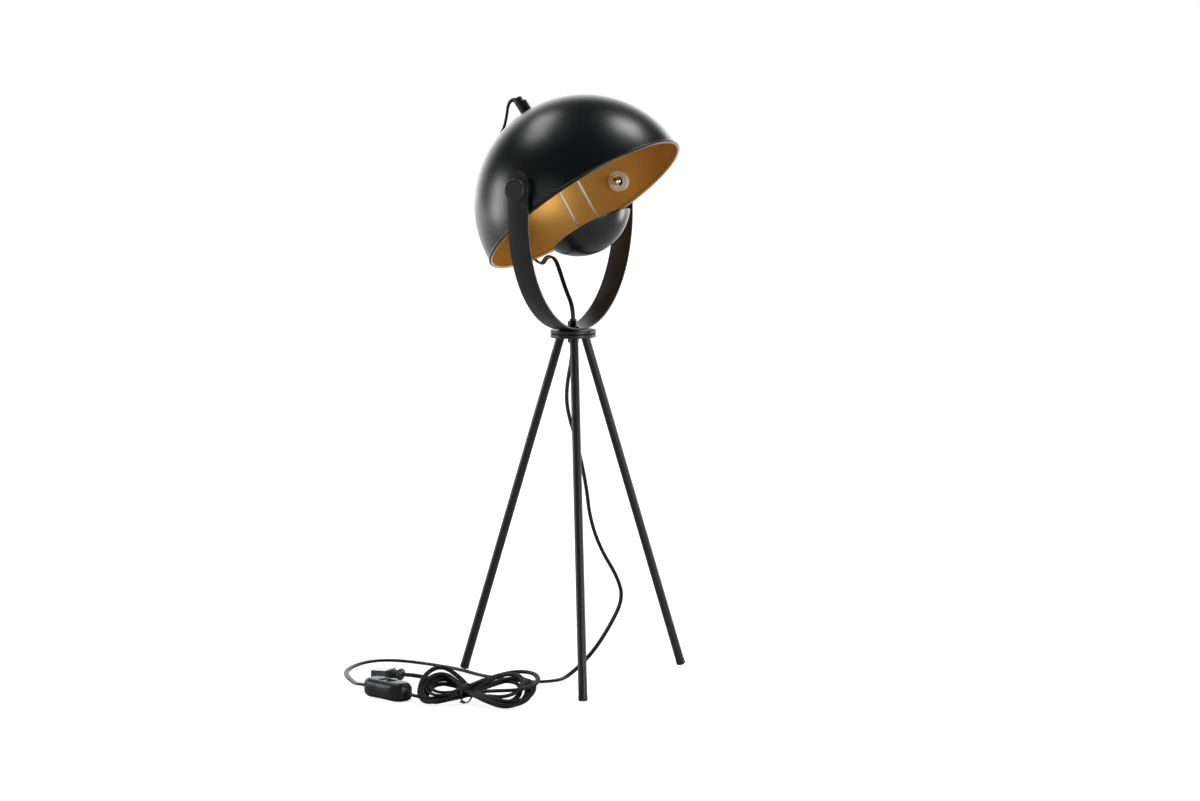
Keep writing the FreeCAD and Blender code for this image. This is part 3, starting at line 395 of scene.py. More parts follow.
plug_lead_route = [
    (-158, 76, 14), (-135, 95, 9), (-113, 110, 4.5), (-97, 124, 2.8), (-86, 139, 3.5),
    (-89.4, 154.1, 6.3), (-91, 168, 6.3)]
lying_flat = (-44, 96, 2.8)  # the point of the lower route where the broad side lies down
print(len(upper_route), "points behind the dome,", len(lower_route), "from the hub to the switch")

# %% [markdown]
# ### The hank
# The spare cord is wound to and fro in figures of eight and tied where they cross. A loop that is held at
# its root has the shape of a drop: it leaves the tie on the far side, swings out, rounds its end and comes
# back on the near side, and goes straight over into the loop on the other side of the tie. The near side
# lies on the table and the far side rests on the turns below it, so each loop is tilted. No two loops are
# the same: each has its own reach, widths, heading and heights in a short list, and its own place in the
# tie. The swing is the product of two sines, which is at most 0.77, so it is scaled up to 1.

# %% The hank's drops
tie_centre = (-178.0, 39.0)
right_drops = [  # reach, near and far half width, heading off the hank's line, lowest, highest
    (68, 46, 26, 22, 1.5, 28), (74, 37, 31, 20, 6, 25), (62, 27, 31, 24, 12, 31), (71, 41, 31, 23, 1.5, 25),
    (77, 27, 33, 31, 18, 30), (59, 34, 25, 18, 3, 22)]
left_drops = [
    (45, 24, 25, -14, 2, 27), (53, 27, 28, -13, 1, 38), (43, 19, 24, -16, 13, 23), (49, 24, 26, -10, 4, 30),
    (43, 22, 22, -14, 11, 17)]
roots = [  # across the tie, and height
    (-8, 5), (4, 11), (-5, 6), (6, 14), (-6, 10), (2, 4.5), (7, 12), (-7, 14), (0, 17), (5, 7), (-3, 11),
    (4, 15)]
points_on_a_drop = 8
swing_scale = 1.3


def drop(shape, root_in, root_out, side):
    """Points of one loop. side is -1 towards the front and 1 towards the rear."""
    reach, near, far, heading, low, high = shape
    turn = math.radians(heading)
    points = []
    for i in range(points_on_a_drop):
        share = (i + 0.5) / points_on_a_drop
        along = reach * (1 - math.cos(2 * math.pi * share)) / 2
        swing = swing_scale * math.sin(2 * math.pi * share) * math.sin(math.pi * share)
        across = swing * (far if swing > 0 else near)
        root = [a + (b - a) * share for a, b in zip(root_in, root_out)]
        rise = (low + high) / 2 + swing * (high - low) / 2 - root[1]
        points.append((tie_centre[0] + root[0] + along * math.sin(turn) + across * math.cos(turn),
                       tie_centre[1] + side * (along * math.cos(turn) - across * math.sin(turn)),
                       root[1] + rise * math.sin(math.pi * share)))
    return points


hank_route = []
for i in range(len(roots) - 1):
    side = 1 if i % 2 else -1
    shape = (left_drops if i % 2 else right_drops)[i // 2]
    hank_route += drop(shape, roots[i], roots[i + 1], side)
print(len(hank_route), "points in the hank")

# %% [markdown]
# ### Sweeping the cord
# The spline gives the middle line. The section is carried along it without twisting, from one point
# where its broad face is known: it looks up where the mains cord lies flat on the table, and to the back
# where the upper cord enters the hub. From there it turns by itself where the cord climbs or bends. The
# groove between the cores is part of the section.

# %% The cord's section
cord_width, cord_thickness = 5.6 * MM, 3.0 * MM
groove_depth = 0.45 * MM
core_turn, core_points = 200, 7


def cord_section():
    """The sheath's outline as (across, up) points: two round cores and the groove between them."""
    radius = cord_thickness / 2
    offset = cord_width / 2 - radius
    right = [(offset + x, y) for x, y in arc((0, 0), radius, -core_turn / 2, core_turn / 2, core_points)]
    left = [(-x, -y) for x, y in right]
    waist = radius - groove_depth
    return right + [(0, waist)] + left + [(0, -waist)]


# %% A flat cord along a route
def spline_line(name, route):
    """The points along a smooth NURBS spline with this route's points, in metres."""
    curve = bpy.data.curves.new(name, "CURVE")
    curve.dimensions = "3D"
    spline = curve.splines.new("NURBS")
    spline.points.add(len(route) - 1)
    for point, place in zip(spline.points, route):
        point.co = (*(hub @ (Vector(place) * MM)), 1)
    spline.order_u = 3
    spline.use_endpoint_u = True
    spline.resolution_u = 9
    bare = bpy.data.objects.new(name, curve)
    mesh = bpy.data.meshes.new_from_object(bare)
    line = [vertex.co.copy() for vertex in mesh.vertices]
    bpy.data.objects.remove(bare)
    bpy.data.meshes.remove(mesh)
    return line


def swept(name, line, known_at, facing):
    """A mesh tube of the cord's section along a line, its broad face looking one way at one point."""
    tangents = [(after - before).normalized()
                for before, after in zip([line[0]] + line[:-1], line[1:] + [line[-1]])]
    ups = [None] * len(line)
    for step in (1, -1):
        carried = Vector(facing)
        stop = len(line) if step > 0 else -1
        for i in range(known_at, stop, step):
            carried = (carried - tangents[i] * carried.dot(tangents[i])).normalized()
            ups[i] = carried.copy()
    section = cord_section()
    points = []
    for place, tangent, upward in zip(line, tangents, ups):
        across = tangent.cross(upward)
        points += [place + across * x + upward * y for x, y in section]
    count = len(section)
    faces = [(i * count + j, i * count + (j + 1) % count, (i + 1) * count + (j + 1) % count,
              (i + 1) * count + j) for i in range(len(line) - 1) for j in range(count)]
    last = (len(line) - 1) * count
    faces += [tuple(reversed(range(count))), tuple(range(last, last + count))]
    mesh = bpy.data.meshes.new(name)
    mesh.from_pydata([tuple(p) for p in points], [], [tuple(reversed(f)) for f in faces])
    piece = bpy.data.objects.new(name, mesh)
    bpy.context.scene.collection.objects.link(piece)
    only(piece)
    bpy.ops.object.mode_set(mode="EDIT")
    bpy.ops.mesh.select_all(action="SELECT")
    bpy.ops.mesh.normals_make_consistent(inside=False)
    bpy.ops.object.mode_set(mode="OBJECT")
    return piece


def line_length(line):
    """The length of a line of points, in metres."""
    return sum((b - a).length for a, b in zip(line, line[1:]))


# %% The cord in the yoke, and the cord on the table
upper_line = spline_line("upper_line", upper_route)
facing_at_hub = (0.3, 1, 0)
upper_cord = swept("upper_cord", upper_line, len(upper_line) - 1, facing_at_hub)
print("upper cord", round(line_length(upper_line), 3), "m")
mains_line = spline_line("mains_line", lower_route + lead_route + hank_route + plug_lead_route)
flat_spot = hub @ (Vector(lying_flat) * MM)
flat_at = min(range(len(mains_line)), key=lambda i: (mains_line[i] - flat_spot).length)
mains_cord = swept("mains_cord", mains_line, flat_at, (0, 0, 1))
print("mains cord", round(line_length(mains_line), 3), "m")

# %% [markdown]
# ## The shade
# The hemisphere is spun from one round blank over a former, and its edge is rolled over a wire to a bead
# that stiffens it. So it is one outline on the lathe: the outer arc, the bead, and back along the inner
# arc a sheet's thickness away. The faces that look inwards are painted gold. A thin pale line is painted on
# the bead's lowest line, between the gold and the black: a painted highlight where the bead catches light.

# %% Spin the dome
sphere_centre, shade_radius, shade_wall = -26.1, 120.0, 1.0
bead_ring_radius, bead_radius = 119.7, 1.9
outer_crown, outer_edge, inner_crown, inner_edge = 88.02, 0.906, 88.0, 0.848  # degrees from level
bead_start, bead_end = 81.4, -248
arc_steps, bead_steps = 56, 22
dome_profile = (arc((0, sphere_centre), shade_radius, outer_crown, outer_edge, arc_steps)
                + arc((bead_ring_radius, sphere_centre), bead_radius, bead_start, bead_end, bead_steps)[1:-1]
                + arc((0, sphere_centre), shade_radius - shade_wall, inner_edge, inner_crown, arc_steps))
dome = turned("dome", dome_profile, steps=160)
print("dome", len(dome.data.polygons), "faces")

# %% Paint the dome
gold_ends, black_ends, crest_depth = -0.34, 0.1, 1.7


def paint(piece, test, look):
    """Give the faces that pass the test a finish of their own."""
    piece.data.materials.append(look)
    only(piece)
    bpy.ops.object.mode_set(mode="EDIT")
    pick_faces(piece, test)
    piece.active_material_index = len(piece.data.materials) - 1
    bpy.ops.object.material_slot_assign()
    bpy.ops.object.mode_set(mode="OBJECT")


def looks_outwards(centre, normal):
    """How far a face looks away from the dome's axis, from -1 to 1."""
    return normal.dot(Vector((centre.x, centre.y, 0)).normalized())


def inside_dome(centre, normal):
    """On the inner arc, or on the side of the bead that looks inwards."""
    return looks_outwards(centre, normal) < gold_ends or (centre.z > 0 and normal.z < 0)


def on_crest(centre, normal):
    """On the bead's lowest line, between the gold and the black."""
    lowest = centre.z < (sphere_centre - crest_depth) * MM
    return lowest and gold_ends < looks_outwards(centre, normal) < black_ends


dome.data.materials.append(dome_black)
paint(dome, inside_dome, gold)
# paint a painted highlight, a pale line, on the bead's lowest faces
paint(dome, on_crest, bead_painted_highlight)
placed(dome, in_shade)
finished(dome, "shade", "shade_paint", replaces=["shade"])
print("dome painted with", len(dome.data.materials), "finishes")

# %% [markdown]
# ## The yoke
# The strap is cut from 24 by 2 mm flat bar, bent to a U over a former and flattened at the bottom, where
# it sits on the hub. It is one section carried round: down the left arm, half a turn along the bend, up
# the right arm. The round ends are rings that narrow like a half circle. A small bevel breaks the edges
# that would otherwise be too sharp to take the powder.

# %% Bend the strap
strap_width, strap_thickness = 24.0, 2.0
bend_radius, bend_height, bend_steps = 125.4, 512.645, 96
round_height, round_rings, last_ring = 552.045, 10, 88
hub_top, seat_top = 386.5, 388.5
near_surface = 0.1 * MM


def round_end(piece, side):
    """Extrude an arm's open end up to a half round. side is -1 on the left and 1 on the right."""
    pick_faces(piece, lambda c, n: abs(n.z) > 0.9 and c.x * side > 0 and abs(c.z - round_height * MM) < WELD)
    half = strap_width / 2
    for i in range(round_rings):
        low, high = [math.radians(last_ring * k / round_rings) for k in (i, i + 1)]
        rise = half * (math.sin(high) - math.sin(low)) * MM
        bpy.ops.mesh.extrude_region_move(TRANSFORM_OT_translate={"value": (0, 0, rise)})
        bpy.ops.transform.resize(value=(1, math.cos(high) / math.cos(low), 1))


def flatten_bottom(piece, radius, level):
    """Press the part of one face of the bend that is below a level up to that level."""
    middle = Vector((0, 0, bend_height * MM))
    pick_points(piece, lambda v: v.z < level * MM
                and abs((Vector((v.x, 0, v.z)) - middle).length - radius * MM) < near_surface)
    bpy.ops.transform.resize(value=(1, 1, 0), center_override=(0, 0, level * MM))


clear()
bpy.ops.mesh.primitive_plane_add(size=1)
strap = opened("strap")
bpy.ops.transform.resize(value=(strap_thickness * MM, strap_width * MM, 1))
bpy.ops.transform.translate(value=(-bend_radius * MM, 0, round_height * MM))
down = (0, 0, (bend_height - round_height) * MM)
bpy.ops.mesh.extrude_region_move(TRANSFORM_OT_translate={"value": down})
bpy.ops.mesh.spin(steps=bend_steps, angle=math.pi, center=(0, 0, bend_height * MM), axis=(0, 1, 0))
bpy.ops.mesh.extrude_region_move(TRANSFORM_OT_translate={"value": (0, 0, -down[2])})
bpy.ops.mesh.select_all(action="SELECT")
bpy.ops.mesh.remove_doubles(threshold=WELD)
for side in (-1, 1):
    round_end(strap, side)
flatten_bottom(strap, bend_radius + strap_thickness / 2, hub_top)
flatten_bottom(strap, bend_radius - strap_thickness / 2, seat_top)
bpy.ops.mesh.select_all(action="SELECT")
bpy.ops.mesh.normals_make_consistent(inside=False)
placed(strap, hub)
apply_bevel(strap, width=0.3 * MM, segments=2, angle=60)
finished(strap, "yoke", "powder_black", coat, replaces=["yoke"])
print("strap", len(strap.data.polygons), "faces")

# %% [markdown]
# ## The hub
# Two turned discs with a thin friction washer between them. The lower one carries the legs, the upper one
# the strap. Their edges are rounded by less than a millimetre, which is what catches the light.

# %% Turn the hub's discs
def disc_profile(bore, radius, low, high, edge, count):
    """A disc with a bore and rounded outer edges, as an outline for the lathe."""
    return ([(bore, low)] + arc((radius - edge, low + edge), edge, -90, 0, count)
            + arc((radius - edge, high - edge), edge, 0, 90, count) + [(bore, high)])


disc_radius, disc_edge = 25, 0.8
for name, body, node, bore, low, high in (("hub_lower_disc", "base", "leg_plate", 4.15, 378, 382),
                                          ("hub_upper_disc", "yoke", "swivel_plate", 4.08, 382.5, hub_top)):
    profile = disc_profile(bore, disc_radius, low, high, disc_edge, count=5)
    disc = turned(name, profile, steps=96, place=hub)
    finished(disc, body, "powder_black", coat, replaces=[node])
    print(name, len(disc.data.polygons), "faces")

# %% [markdown]
# ## The knobs and their washers
# Each knob is a short moulded button with a rounded rim and a face that is very slightly domed, so that it
# doesn't look sunk. It is turned about Z and then laid along the pivot. The washer under it is a little
# wider and shows as a ring.

# %% Turn the knobs
knob_start, knob_depth, knob_radius, knob_round = 128.1, 8.5, 11.8, 2.4
stud_depth, stud_bore, foot_round, face_rise = 6.5, 3.05, 0.8, 0.35
face_falls = [(6.5, 0.12), (3.2, 0.03), (0, 0)]  # reach, and how far the domed face has fallen there
knob_profile = ([(0, stud_depth), (stud_bore, stud_depth), (stud_bore, 0)]
                + arc((knob_radius - foot_round, foot_round), foot_round, -90, 0, 4)
                + arc((knob_radius - knob_round, knob_depth - face_rise - knob_round), knob_round, 0, 84, 9)
                + [(reach, knob_depth - fall) for reach, fall in face_falls])
washer_profile = disc_profile(bore=3.08, radius=12.8, low=126.4, high=128.0, edge=0.4, count=3)


def along_pivot(side, start=0.0):
    """Lay a piece that stands on Z along the pivot, outwards on one side."""
    return (Matrix.Translation(pivot) @ Matrix.Rotation(math.radians(90 * side), 4, "Y")
            @ Matrix.Translation((0, 0, start * MM)))


for side, name in ((-1, "left"), (1, "right")):
    knob = turned("knob_button_" + name, knob_profile, steps=72, place=along_pivot(side, knob_start))
    finished(knob, "knob_" + name, "knob_plastic", knob_plastic, replaces=["knob_" + name])
    washer = turned("knob_flange_" + name, washer_profile, steps=72, place=along_pivot(side))
    finished(washer, "yoke", "knob_plastic", knob_plastic, replaces=["knob_washers"])
    print(name, "knob and washer")

# %% [markdown]
# ## The anti-glare bowl
# A shallow bowl is pressed from thin sheet and hangs in front of the lamp on a bent wire, so that nobody
# looks straight at the glass. Its outline is two arcs a sheet's thickness apart, joined by a round lip. The
# bracket's wire leans a little, and the bowl leans with it.

# %% Turn the bowl
bowl_radius, bowl_wall, bowl_bottom, rim_angle = 57.353, 0.9, 142.4, 35.31
bracket_height, bracket_lean = 64, 4.2
in_bracket = (in_shade @ Matrix.Translation((0, 0, bracket_height * MM))
              @ Matrix.Rotation(math.radians(bracket_lean), 4, "X"))
bowl_centre = bowl_radius - bowl_bottom
middle_radius = bowl_radius - bowl_wall / 2
lip = (middle_radius * math.cos(math.radians(rim_angle)),
       bowl_centre - middle_radius * math.sin(math.radians(rim_angle)))
bowl_profile = (arc((0, bowl_centre), bowl_radius, -90, -rim_angle, 30)
                + arc(lip, bowl_wall / 2, -rim_angle, 180 - rim_angle, 6)[1:-1]
                + arc((0, bowl_centre), bowl_radius - bowl_wall, -rim_angle, -90, 30))
bowl = turned("bowl", bowl_profile, steps=112, place=in_bracket)
finished(bowl, "shade", "bowl_paint", bowl_black, replaces=["anti_glare_bowl"])
print("bowl", len(bowl.data.polygons), "faces")

# %% [markdown]
# ## The switch
# The inline switch is two moulded shells that are screwed together from below. Their plan tapers to the
# cord and every edge is generously rounded, so the hand finds it in the dark. One block is drawn to that
# shape, its edges are rounded, and a copy is cut at the seam for each shell. A hair's width is left open
# between the shells. A box cuts the pocket of the rocker. Where the cord goes in, at each end, a short
# turned collar holds it.

# %% Shape the switch's block
switch_length, switch_width, switch_height, seam_height = 66.0, 28.0, 20.0, 9.0
end_width, end_height_share, end_middle = 16.5, 0.98, 8
shoulder, waist_share, block_round = 21.0, 0.93, 6.9
near_a_cut = 1
switch_middle, switch_heading = (-190.31, 129.55, 0), 248.3
on_switch = (hub @ Matrix.Translation(Vector(switch_middle) * MM)
             @ Matrix.Rotation(math.radians(switch_heading), 4, "Z"))


def switch_block(name):
    """The whole case: a block with tapered ends, a slight waist and round edges."""
    piece = block(name, (switch_length, switch_width, switch_height), (0, 0, switch_height / 2))
    for place in (-shoulder, 0, shoulder):
        bpy.ops.mesh.select_all(action="SELECT")
        bpy.ops.mesh.bisect(plane_co=(place * MM, 0, 0), plane_no=(1, 0, 0))
    pick_points(piece, lambda v: abs(v.x) > (switch_length / 2 - near_a_cut) * MM)
    bpy.ops.transform.resize(value=(1, end_width / switch_width, end_height_share),
                             center_override=(0, 0, end_middle * MM))
    pick_points(piece, lambda v: abs(v.x) < near_a_cut * MM)
    bpy.ops.transform.resize(value=(1, waist_share, 1), center_override=(0, 0, 0))
    bpy.ops.mesh.select_all(action="SELECT")
    bpy.ops.mesh.normals_make_consistent(inside=False)
    apply_bevel(piece, block_round * MM, segments=9, angle=5)
    return piece


lower_shell = switch_block("switch_lower_shell")
upper_shell = switch_block("switch_upper_shell")
print("switch block", len(lower_shell.data.polygons), "faces")

# %% Cut the switch's shells
seam_gap = 0.3
rocker_pocket, pocket_middle = (21.4, 11.4, 14), (0, 0, 17.1)


def keep_side(piece, height, above):
    """Cut a piece level and keep what is above or below the cut, closed again."""
    only(piece)
    bpy.ops.object.mode_set(mode="EDIT")
    bpy.ops.mesh.select_all(action="SELECT")
    bpy.ops.mesh.bisect(plane_co=(0, 0, height * MM), plane_no=(0, 0, 1), use_fill=True,
                        clear_inner=above, clear_outer=not above)
    bpy.ops.object.mode_set(mode="OBJECT")


def cut_with_box(piece, size, centre):
    """Take a box out of a piece."""
    box = block("cutter", size, centre)
    only(piece)
    cut = piece.modifiers.new("cut", "BOOLEAN")
    cut.operation = "DIFFERENCE"
    cut.object = box
    bpy.ops.object.modifier_apply(modifier=cut.name)
    bpy.data.objects.remove(box)


keep_side(lower_shell, seam_height - seam_gap / 2, False)
keep_side(upper_shell, seam_height + seam_gap / 2, True)
cut_with_box(upper_shell, rocker_pocket, pocket_middle)
for shell, node in ((lower_shell, "switch_lower_case"), (upper_shell, "switch_upper_case")):
    placed(shell, on_switch)
    apply_bevel(shell, width=0.3 * MM, segments=2, angle=60)
    finished(shell, "base", "switch_abs", switch_abs, replaces=[node])
    print(shell.name, len(shell.data.polygons), "faces")

# %% The collars where the cord goes in
collar_start, collar_end, collar_radius, collar_round = 30, 36.0, 4.4, 0.8
straight_end, round_start, mouth_radius = 34.2, 34.8, 3.5
collar_profile = ([(0, collar_start), (collar_radius, collar_start), (collar_radius, straight_end)]
                  + arc((collar_radius - collar_round, round_start), collar_round, 0, 60, 4)
                  + [(mouth_radius, collar_end), (0, collar_end)])
for side, name in ((-1, "rear"), (1, "front")):
    at_end = (on_switch @ Matrix.Translation((0, 0, seam_height * MM))
              @ Matrix.Rotation(math.radians(90 * side), 4, "Y"))
    collar = turned("switch_collar_" + name, collar_profile, steps=40, place=at_end)
    finished(collar, "base", "switch_abs", switch_abs, replaces=["switch_lower_case"])

# %% [markdown]
# ## The plug
# The plug is soft PVC moulded round the cord: a finger stop at the tail, a ribbed waist to pull it by and a
# flat front. Its grip is turned as one ribbed outline and then pressed flat, which makes every ring an
# oval. The front is a rounded block.

# %% Turn and press the plug
plug_heading, flatness = 96.5, 0.6
tail_radius, tail_round = 4.2, 0.9
stop_reach, stop_height, stop_round = 9.8, 2.8, 1.2
waist_radius, waist_start, neck_radius, neck_height = 7.2, 5.6, 8.2, 4.9
rib_count, rib_pitch, rib_width, rib_round, rib_rise, rib_middle = 3, 2.4, 2.0, 0.7, 0.3, 1.1
grip_end = [(8.4, 13.0), (8.6, 13.6), (0, 13.6)]
front_size, front_middle, front_round = (4.2, 20, 10.4), 14.9, 1.2
on_plug = (hub @ Matrix.Translation(Vector(plug_lead_route[-1]) * MM)
           @ Matrix.Rotation(math.radians(plug_heading), 4, "Z"))
grip_profile = ([(0, 0), (tail_radius, 0)] + arc((tail_radius, tail_round), tail_round, -90, -30, 3)
                + arc((stop_reach, stop_height), stop_round, -60, 60, 7) + [(neck_radius, neck_height)])
for i in range(rib_count):
    low = waist_start + rib_pitch * i
    grip_profile += ([(waist_radius, low)]
                     + arc((waist_radius + rib_rise, low + rib_middle), rib_round, -70, 70, 5)
                     + [(waist_radius, low + rib_width)])
grip_profile += grip_end
plug_grip = turned("plug_grip", grip_profile, steps=64)
bpy.ops.transform.resize(value=(flatness, 1, 1))
placed(plug_grip, on_plug @ Matrix.Rotation(math.radians(90), 4, "Y"))
finished(plug_grip, "base", "plug_pvc", plug_pvc, replaces=["plug_body"])
plug_front = placed(block("plug_front", front_size, (front_middle, 0, 0)), on_plug)
apply_bevel(plug_front, front_round * MM, segments=4)
finished(plug_front, "base", "plug_pvc", plug_pvc, replaces=["plug_body"])
print("plug", len(plug_grip.data.polygons), "faces in the grip")

# %% [markdown]
# ## The tie
# The hank is held by a thin plastic-coated wire, wound round it once, its two ends twisted together. The
# band is a torus drawn to an oval. The twisted end is a small circle beside the axis that the Screw
# modifier carries round and along.

# %% Bend the tie
band_reach, band_rise, band_share = 13.2, 10.0, 0.075
band_middle, twist_start = (-179.5, 39, 10.6), (-190.5, 35.5, 2.6)
wire_radius, wire_offset = 0.8, 0.75
twist_turns, twist_length, twist_lean, twist_steps = 2.5, 9, -75, 60
clear()
bpy.ops.mesh.primitive_torus_add(major_radius=1, minor_radius=band_share, major_segments=72,
                                 minor_segments=12)
tie_band = opened("tie_band")
bpy.ops.transform.resize(value=(band_reach * MM, band_rise * MM, band_reach * MM), center_override=(0, 0, 0))
placed(tie_band, hub @ Matrix.Translation(Vector(band_middle) * MM)
       @ Matrix.Rotation(math.radians(90), 4, "X"))
finished(tie_band, "base", "tie_plastic", tie_pvc, replaces=["hank_tie"])
clear()
bpy.ops.mesh.primitive_circle_add(vertices=12, radius=wire_radius * MM, location=(wire_offset * MM, 0, 0),
                                  rotation=(math.radians(90), 0, 0))
bpy.ops.object.transform_apply(location=True, rotation=True)
tie_end = bpy.context.object
tie_end.name = tie_end.data.name = "tie_end"
twist = tie_end.modifiers.new("twist", "SCREW")
twist.angle = math.radians(360 * twist_turns)
twist.screw_offset = twist_length * MM
twist.steps = twist.render_steps = twist_steps
twist.use_merge_vertices = True
bpy.ops.object.modifier_apply(modifier=twist.name)
placed(tie_end, hub @ Matrix.Translation(Vector(twist_start) * MM)
       @ Matrix.Rotation(math.radians(twist_lean), 4, "Y"))
finished(tie_end, "base", "tie_plastic", tie_pvc, replaces=["hank_tie"])
print("tie", len(tie_band.data.polygons) + len(tie_end.data.polygons), "faces")

# %% [markdown]
# ## The cord grip
# On top of the dome the cord is held by a moulded sleeve on a threaded shank, which a ribbed bar clamps
# from the side. The sleeve is one more outline for the lathe: shank, shoulder, sleeve, a rounded mouth,
# and back down the bore to where the cord ends.

# %% Turn the grip's sleeve
shank_bore, shank_radius, shank_base = 2.4, 4.0, 83.4
sleeve_radius, sleeve_base, sleeve_top = 5.25, 93.9, 115.2
cord_bore, cord_stop, flare, flare_depth = 3.1, 99.0, 0.5, 0.7
shoulder_round, mouth_round = 0.5, 0.9
shoulder_middle = (sleeve_radius - shoulder_round, sleeve_base + shoulder_round)
mouth_middle = (sleeve_radius - mouth_round, sleeve_top - mouth_round)
sleeve_profile = ([(shank_bore, shank_base), (shank_radius, shank_base), (shank_radius, sleeve_base)]
                  + arc(shoulder_middle, shoulder_round, -90, 0, 4)
                  + arc(mouth_middle, mouth_round, 0, 90, 6)
                  + [(cord_bore + flare, sleeve_top), (cord_bore, sleeve_top - flare_depth),
                     (cord_bore, cord_stop), (shank_bore, cord_stop)])
grip_sleeve = turned("grip_sleeve", sleeve_profile, steps=56, place=in_shade)
finished(grip_sleeve, "shade", "nylon", nylon, replaces=["cord_grip"])
print("sleeve", len(grip_sleeve.data.polygons), "faces")

# %% [markdown]
# ## Small hardware from the mechanical model
# Nuts, washers, tubes, the bent wire and the lampholder already have their final shape in the mechanical
# model, so they stay and only get a finish.

# %% Finishes for the pieces that stay
stays = {
    "friction_washer": nylon, "hub_nipple": coat, "upper_washer": black_zinc, "upper_nut": black_zinc,
    "lower_washer": black_zinc, "lower_nut": black_zinc, "leg_rear": coat, "leg_front_left": coat,
    "leg_front_right": coat, "foot_cap_rear": foot_plastic, "foot_cap_front_left": foot_plastic,
    "foot_cap_front_right": foot_plastic, "pivot_spacers": coat, "pivot_studs": nickel,
    "inner_washers": washer_painted_reflection, "cap_nuts": chrome, "lampholder_cap": phenolic,
    "lampholder_skirt": phenolic, "lampholder_core": porcelain, "screw_shell": brass,
    "centre_contact": brass, "clamp_ring": phenolic, "bracket_ring": coat, "bracket_wire": wire_painted_white_reflection,
    "cord_grip_clamp": nylon, "switch_rocker": switch_abs, "switch_screws": nickel, "plug_blades": brass,
    "blade_cover": cover_grey}
for name, look in stays.items():
    nodes[name].data.materials.clear()
    nodes[name].data.materials.append(look)
print(len(stays), "pieces keep their mechanical shape")

# %% [markdown]
# ## The cords
# The cord behind the dome is left where it lies, on no body. The cord on the table stays with the base,
# with the switch, the tie and the plug on it. The sheath is smoothed up to a wider angle than the other
# pieces, because its section has few points.

cord_smooth_angle = math.radians(60)
for piece in (upper_cord, mains_cord):
    piece.data.materials.append(cord_pvc)
    only(piece)
    bpy.ops.object.shade_smooth_by_angle(angle=cord_smooth_angle)
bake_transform(upper_cord)
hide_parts("upper_cable")
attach(mains_cord, "base")
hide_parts("lower_cable", "switch_lead", "cord_hank", "plug_lead")
print("two cords")

# %% [markdown]
# ## The studio
# A pale paper floor runs out of sight. The camera sees it brighten to white a metre away, so that it has
# no edge, and the shadows on it stay. Glossy surfaces see its far part behind the lamp as a bright
# backdrop, which draws pale edges on what faces away. The dot product tells how far behind the lamp a
# place on the floor is, and Light Path tells who looks.

# %% Floor
paper_size, paper_middle, fibre_length = 16, (2.5, 1.2, -0.0002), 3 * MM
away_from_camera = (0.831, 0.555, 0)
clear()
bpy.ops.mesh.primitive_plane_add(size=paper_size, location=paper_middle)
bpy.ops.object.transform_apply(location=True)
floor = bpy.context.object
floor.name = "floor"
paper = bpy.data.materials.new("white_paper")
tree = cleared_tree(paper)
place = add(tree, "TexCoord")
seen = add(tree, "LightPath")
fibre = add(tree, "TexNoise", {"Scale": 1 / fibre_length, "Detail": 2}, {"Vector": (place, "Object")})
tint = add(tree, "Mix", {"data_type": "RGBA", 6: linear("#BEBEBE"), 7: linear("#C3C3C3")},
           {"Factor": (fibre, "Fac")})
away = add(tree, "VectorMath", {"operation": "LENGTH"}, {0: (place, "Object")})
glow = add(tree, "MapRange", {"From Min": 0.45, "From Max": 1.1, "To Min": 0.8, "To Max": 1.1},
           {"Value": (away, "Value")})
for_camera = add(tree, "Math", {"operation": "MULTIPLY"}, {0: (glow, "Result"), 1: (seen, "Is Camera Ray")})
behind = add(tree, "VectorMath", {"operation": "DOT_PRODUCT", 1: away_from_camera}, {0: (place, "Object")})
far = add(tree, "MapRange", {"From Min": 0.6, "From Max": 3.0, "To Min": 0.0, "To Max": 1.6},
          {"Value": (behind, "Value")})
for_gloss = add(tree, "Math", {"operation": "MULTIPLY"}, {0: (far, "Result"), 1: (seen, "Is Glossy Ray")})
both = add(tree, "Math", {"operation": "ADD"}, {0: (for_camera, "Value"), 1: (for_gloss, "Value")})
sheet = add(tree, "BsdfPrincipled",
            {"Roughness": 0.9, "Specular IOR Level": 0.05, "Emission Color": (1, 1, 1, 1)},
            {"Base Color": (tint, 2), "Emission Strength": (both, "Value")})
add(tree, "OutputMaterial", links={"Surface": (sheet, "BSDF")})
floor.data.materials.append(paper)
print("floor", paper_size, "m")

# %% [markdown]
# ### The room
# What the camera sees beyond the floor is white. The surfaces themselves are lit by a plain grey room. A
# reflection sees a dark room with one white wall behind the lamp, a little to the left, which draws the
# thin pale line along the dome's upper left edge. Here the dot product tells how nearly a direction points
# at that wall.

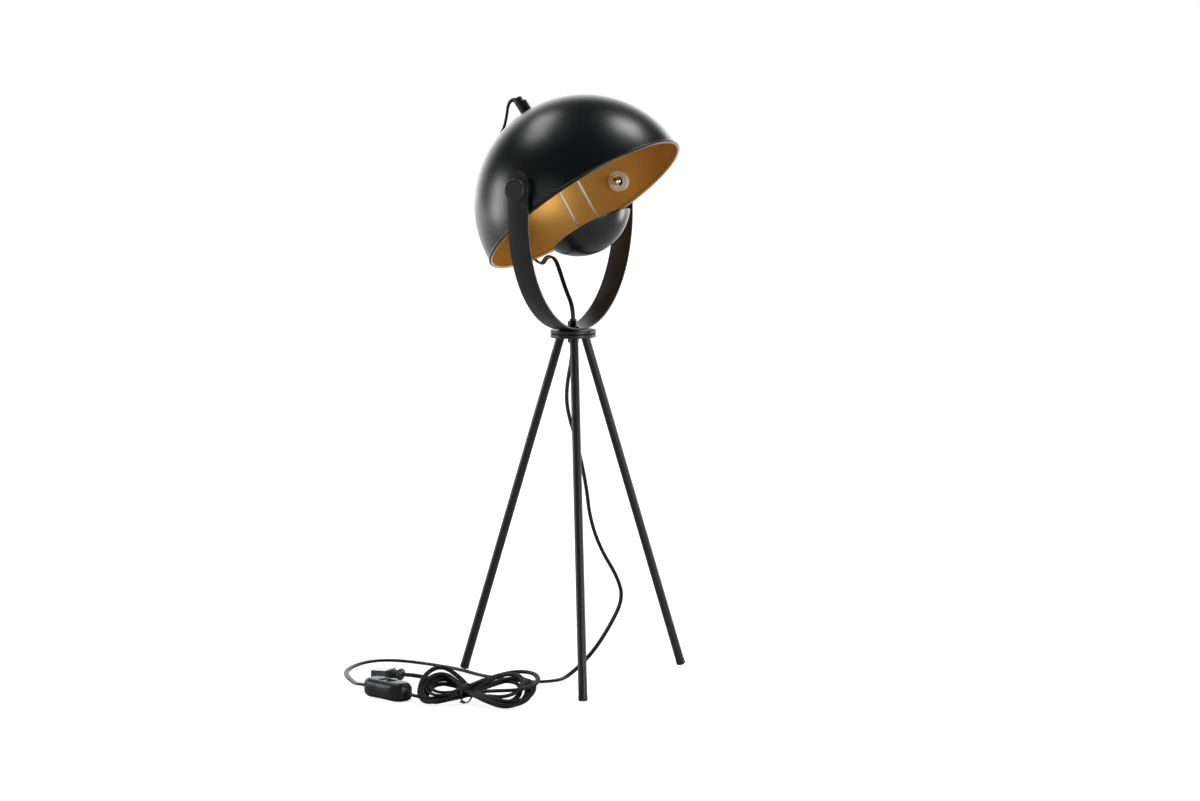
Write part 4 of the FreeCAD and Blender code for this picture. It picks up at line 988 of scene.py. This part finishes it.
# %% The room
to_wall = (0.840, 0.533, -0.10)
grey_room, white = 0.3, 1.0
world = bpy.data.worlds.new("studio")
bpy.context.scene.world = world
room = cleared_tree(world)
towards = add(room, "TexCoord")
path = add(room, "LightPath")
wall = add(room, "VectorMath", {"operation": "DOT_PRODUCT", 1: to_wall}, {0: (towards, "Generated")})
lit = add(room, "MapRange", {"From Min": 0.72, "From Max": 0.95, "To Min": 0.02, "To Max": 2.9},
          {"Value": (wall, "Value")})
reflected = add(room, "Mix", {"data_type": "FLOAT", "A": grey_room},
                {"Factor": (path, "Is Glossy Ray"), "B": (lit, "Result")})
straight = add(room, "Math", {"operation": "MAXIMUM"},
               {0: (path, "Is Camera Ray"), 1: (path, "Is Transmission Ray")})
strength = add(room, "Mix", {"data_type": "FLOAT", "B": white},
               {"Factor": (straight, "Value"), "A": (reflected, "Result")})
sky = add(room, "Background", {"Color": (1, 1, 1, 1)}, {"Strength": (strength, "Result")})
add(room, "OutputWorld", links={"Surface": (sky, "Background")})
print("room", len(room.nodes), "nodes")

# %% [markdown]
# ### Soft boxes
# Seven soft boxes are set round the dome as a studio sets them. Two overhead and one on the left make the
# dome's three broad highlights. One on the camera's right shines into the gold. One behind and one low on
# the right light the sides that face away, and a large weak one in front lifts the rest.

# %% Soft boxes
lit_height = 30
dome_middle = in_shade @ Vector((0, 0, lit_height * MM))
soft_boxes = [  # name, direction (right, up and towards the camera), distance, width, height, watts
    ("overhead", (-0.48, 0.85, -0.20), 1.9, 1.05, 0.5, 10),
    ("overhead_right", (0.49, 0.85, -0.16), 2.2, 0.66, 0.7, 16),
    ("left", (-0.985, 0.04, -0.16), 2.0, 0.6, 1.0, 15),
    ("into_shade", (0.72, -0.12, 0.68), 2.0, 1.0, 0.7, 19),
    ("behind", (0.50, 0.20, -0.84), 2.4, 0.9, 0.9, 5),
    ("low_right", (0.87, -0.20, -0.45), 1.7, 0.5, 0.7, 9),
    ("front_left", (-0.62, 0.05, 0.78), 2.4, 1.3, 1.3, 4)]
for name, camera_direction, distance, width, height, power in soft_boxes:
    direction = (camera.matrix_world.to_3x3() @ Vector(camera_direction)).normalized()
    light = bpy.data.lights.new(name, "AREA")
    light.shape = "RECTANGLE"
    light.size = width
    light.size_y = height
    light.energy = power
    lamp = bpy.data.objects.new(name, light)
    bpy.context.scene.collection.objects.link(lamp)
    lamp.location = dome_middle + direction * distance
    lamp.rotation_euler = (-direction).to_track_quat("-Z", "Y").to_euler()
print(len(soft_boxes), "soft boxes")

# %% [markdown]
# ## The view
# Colours are shown as they are written, with the Standard view.

# %% Standard view
bpy.context.scene.view_settings.view_transform = "Standard"
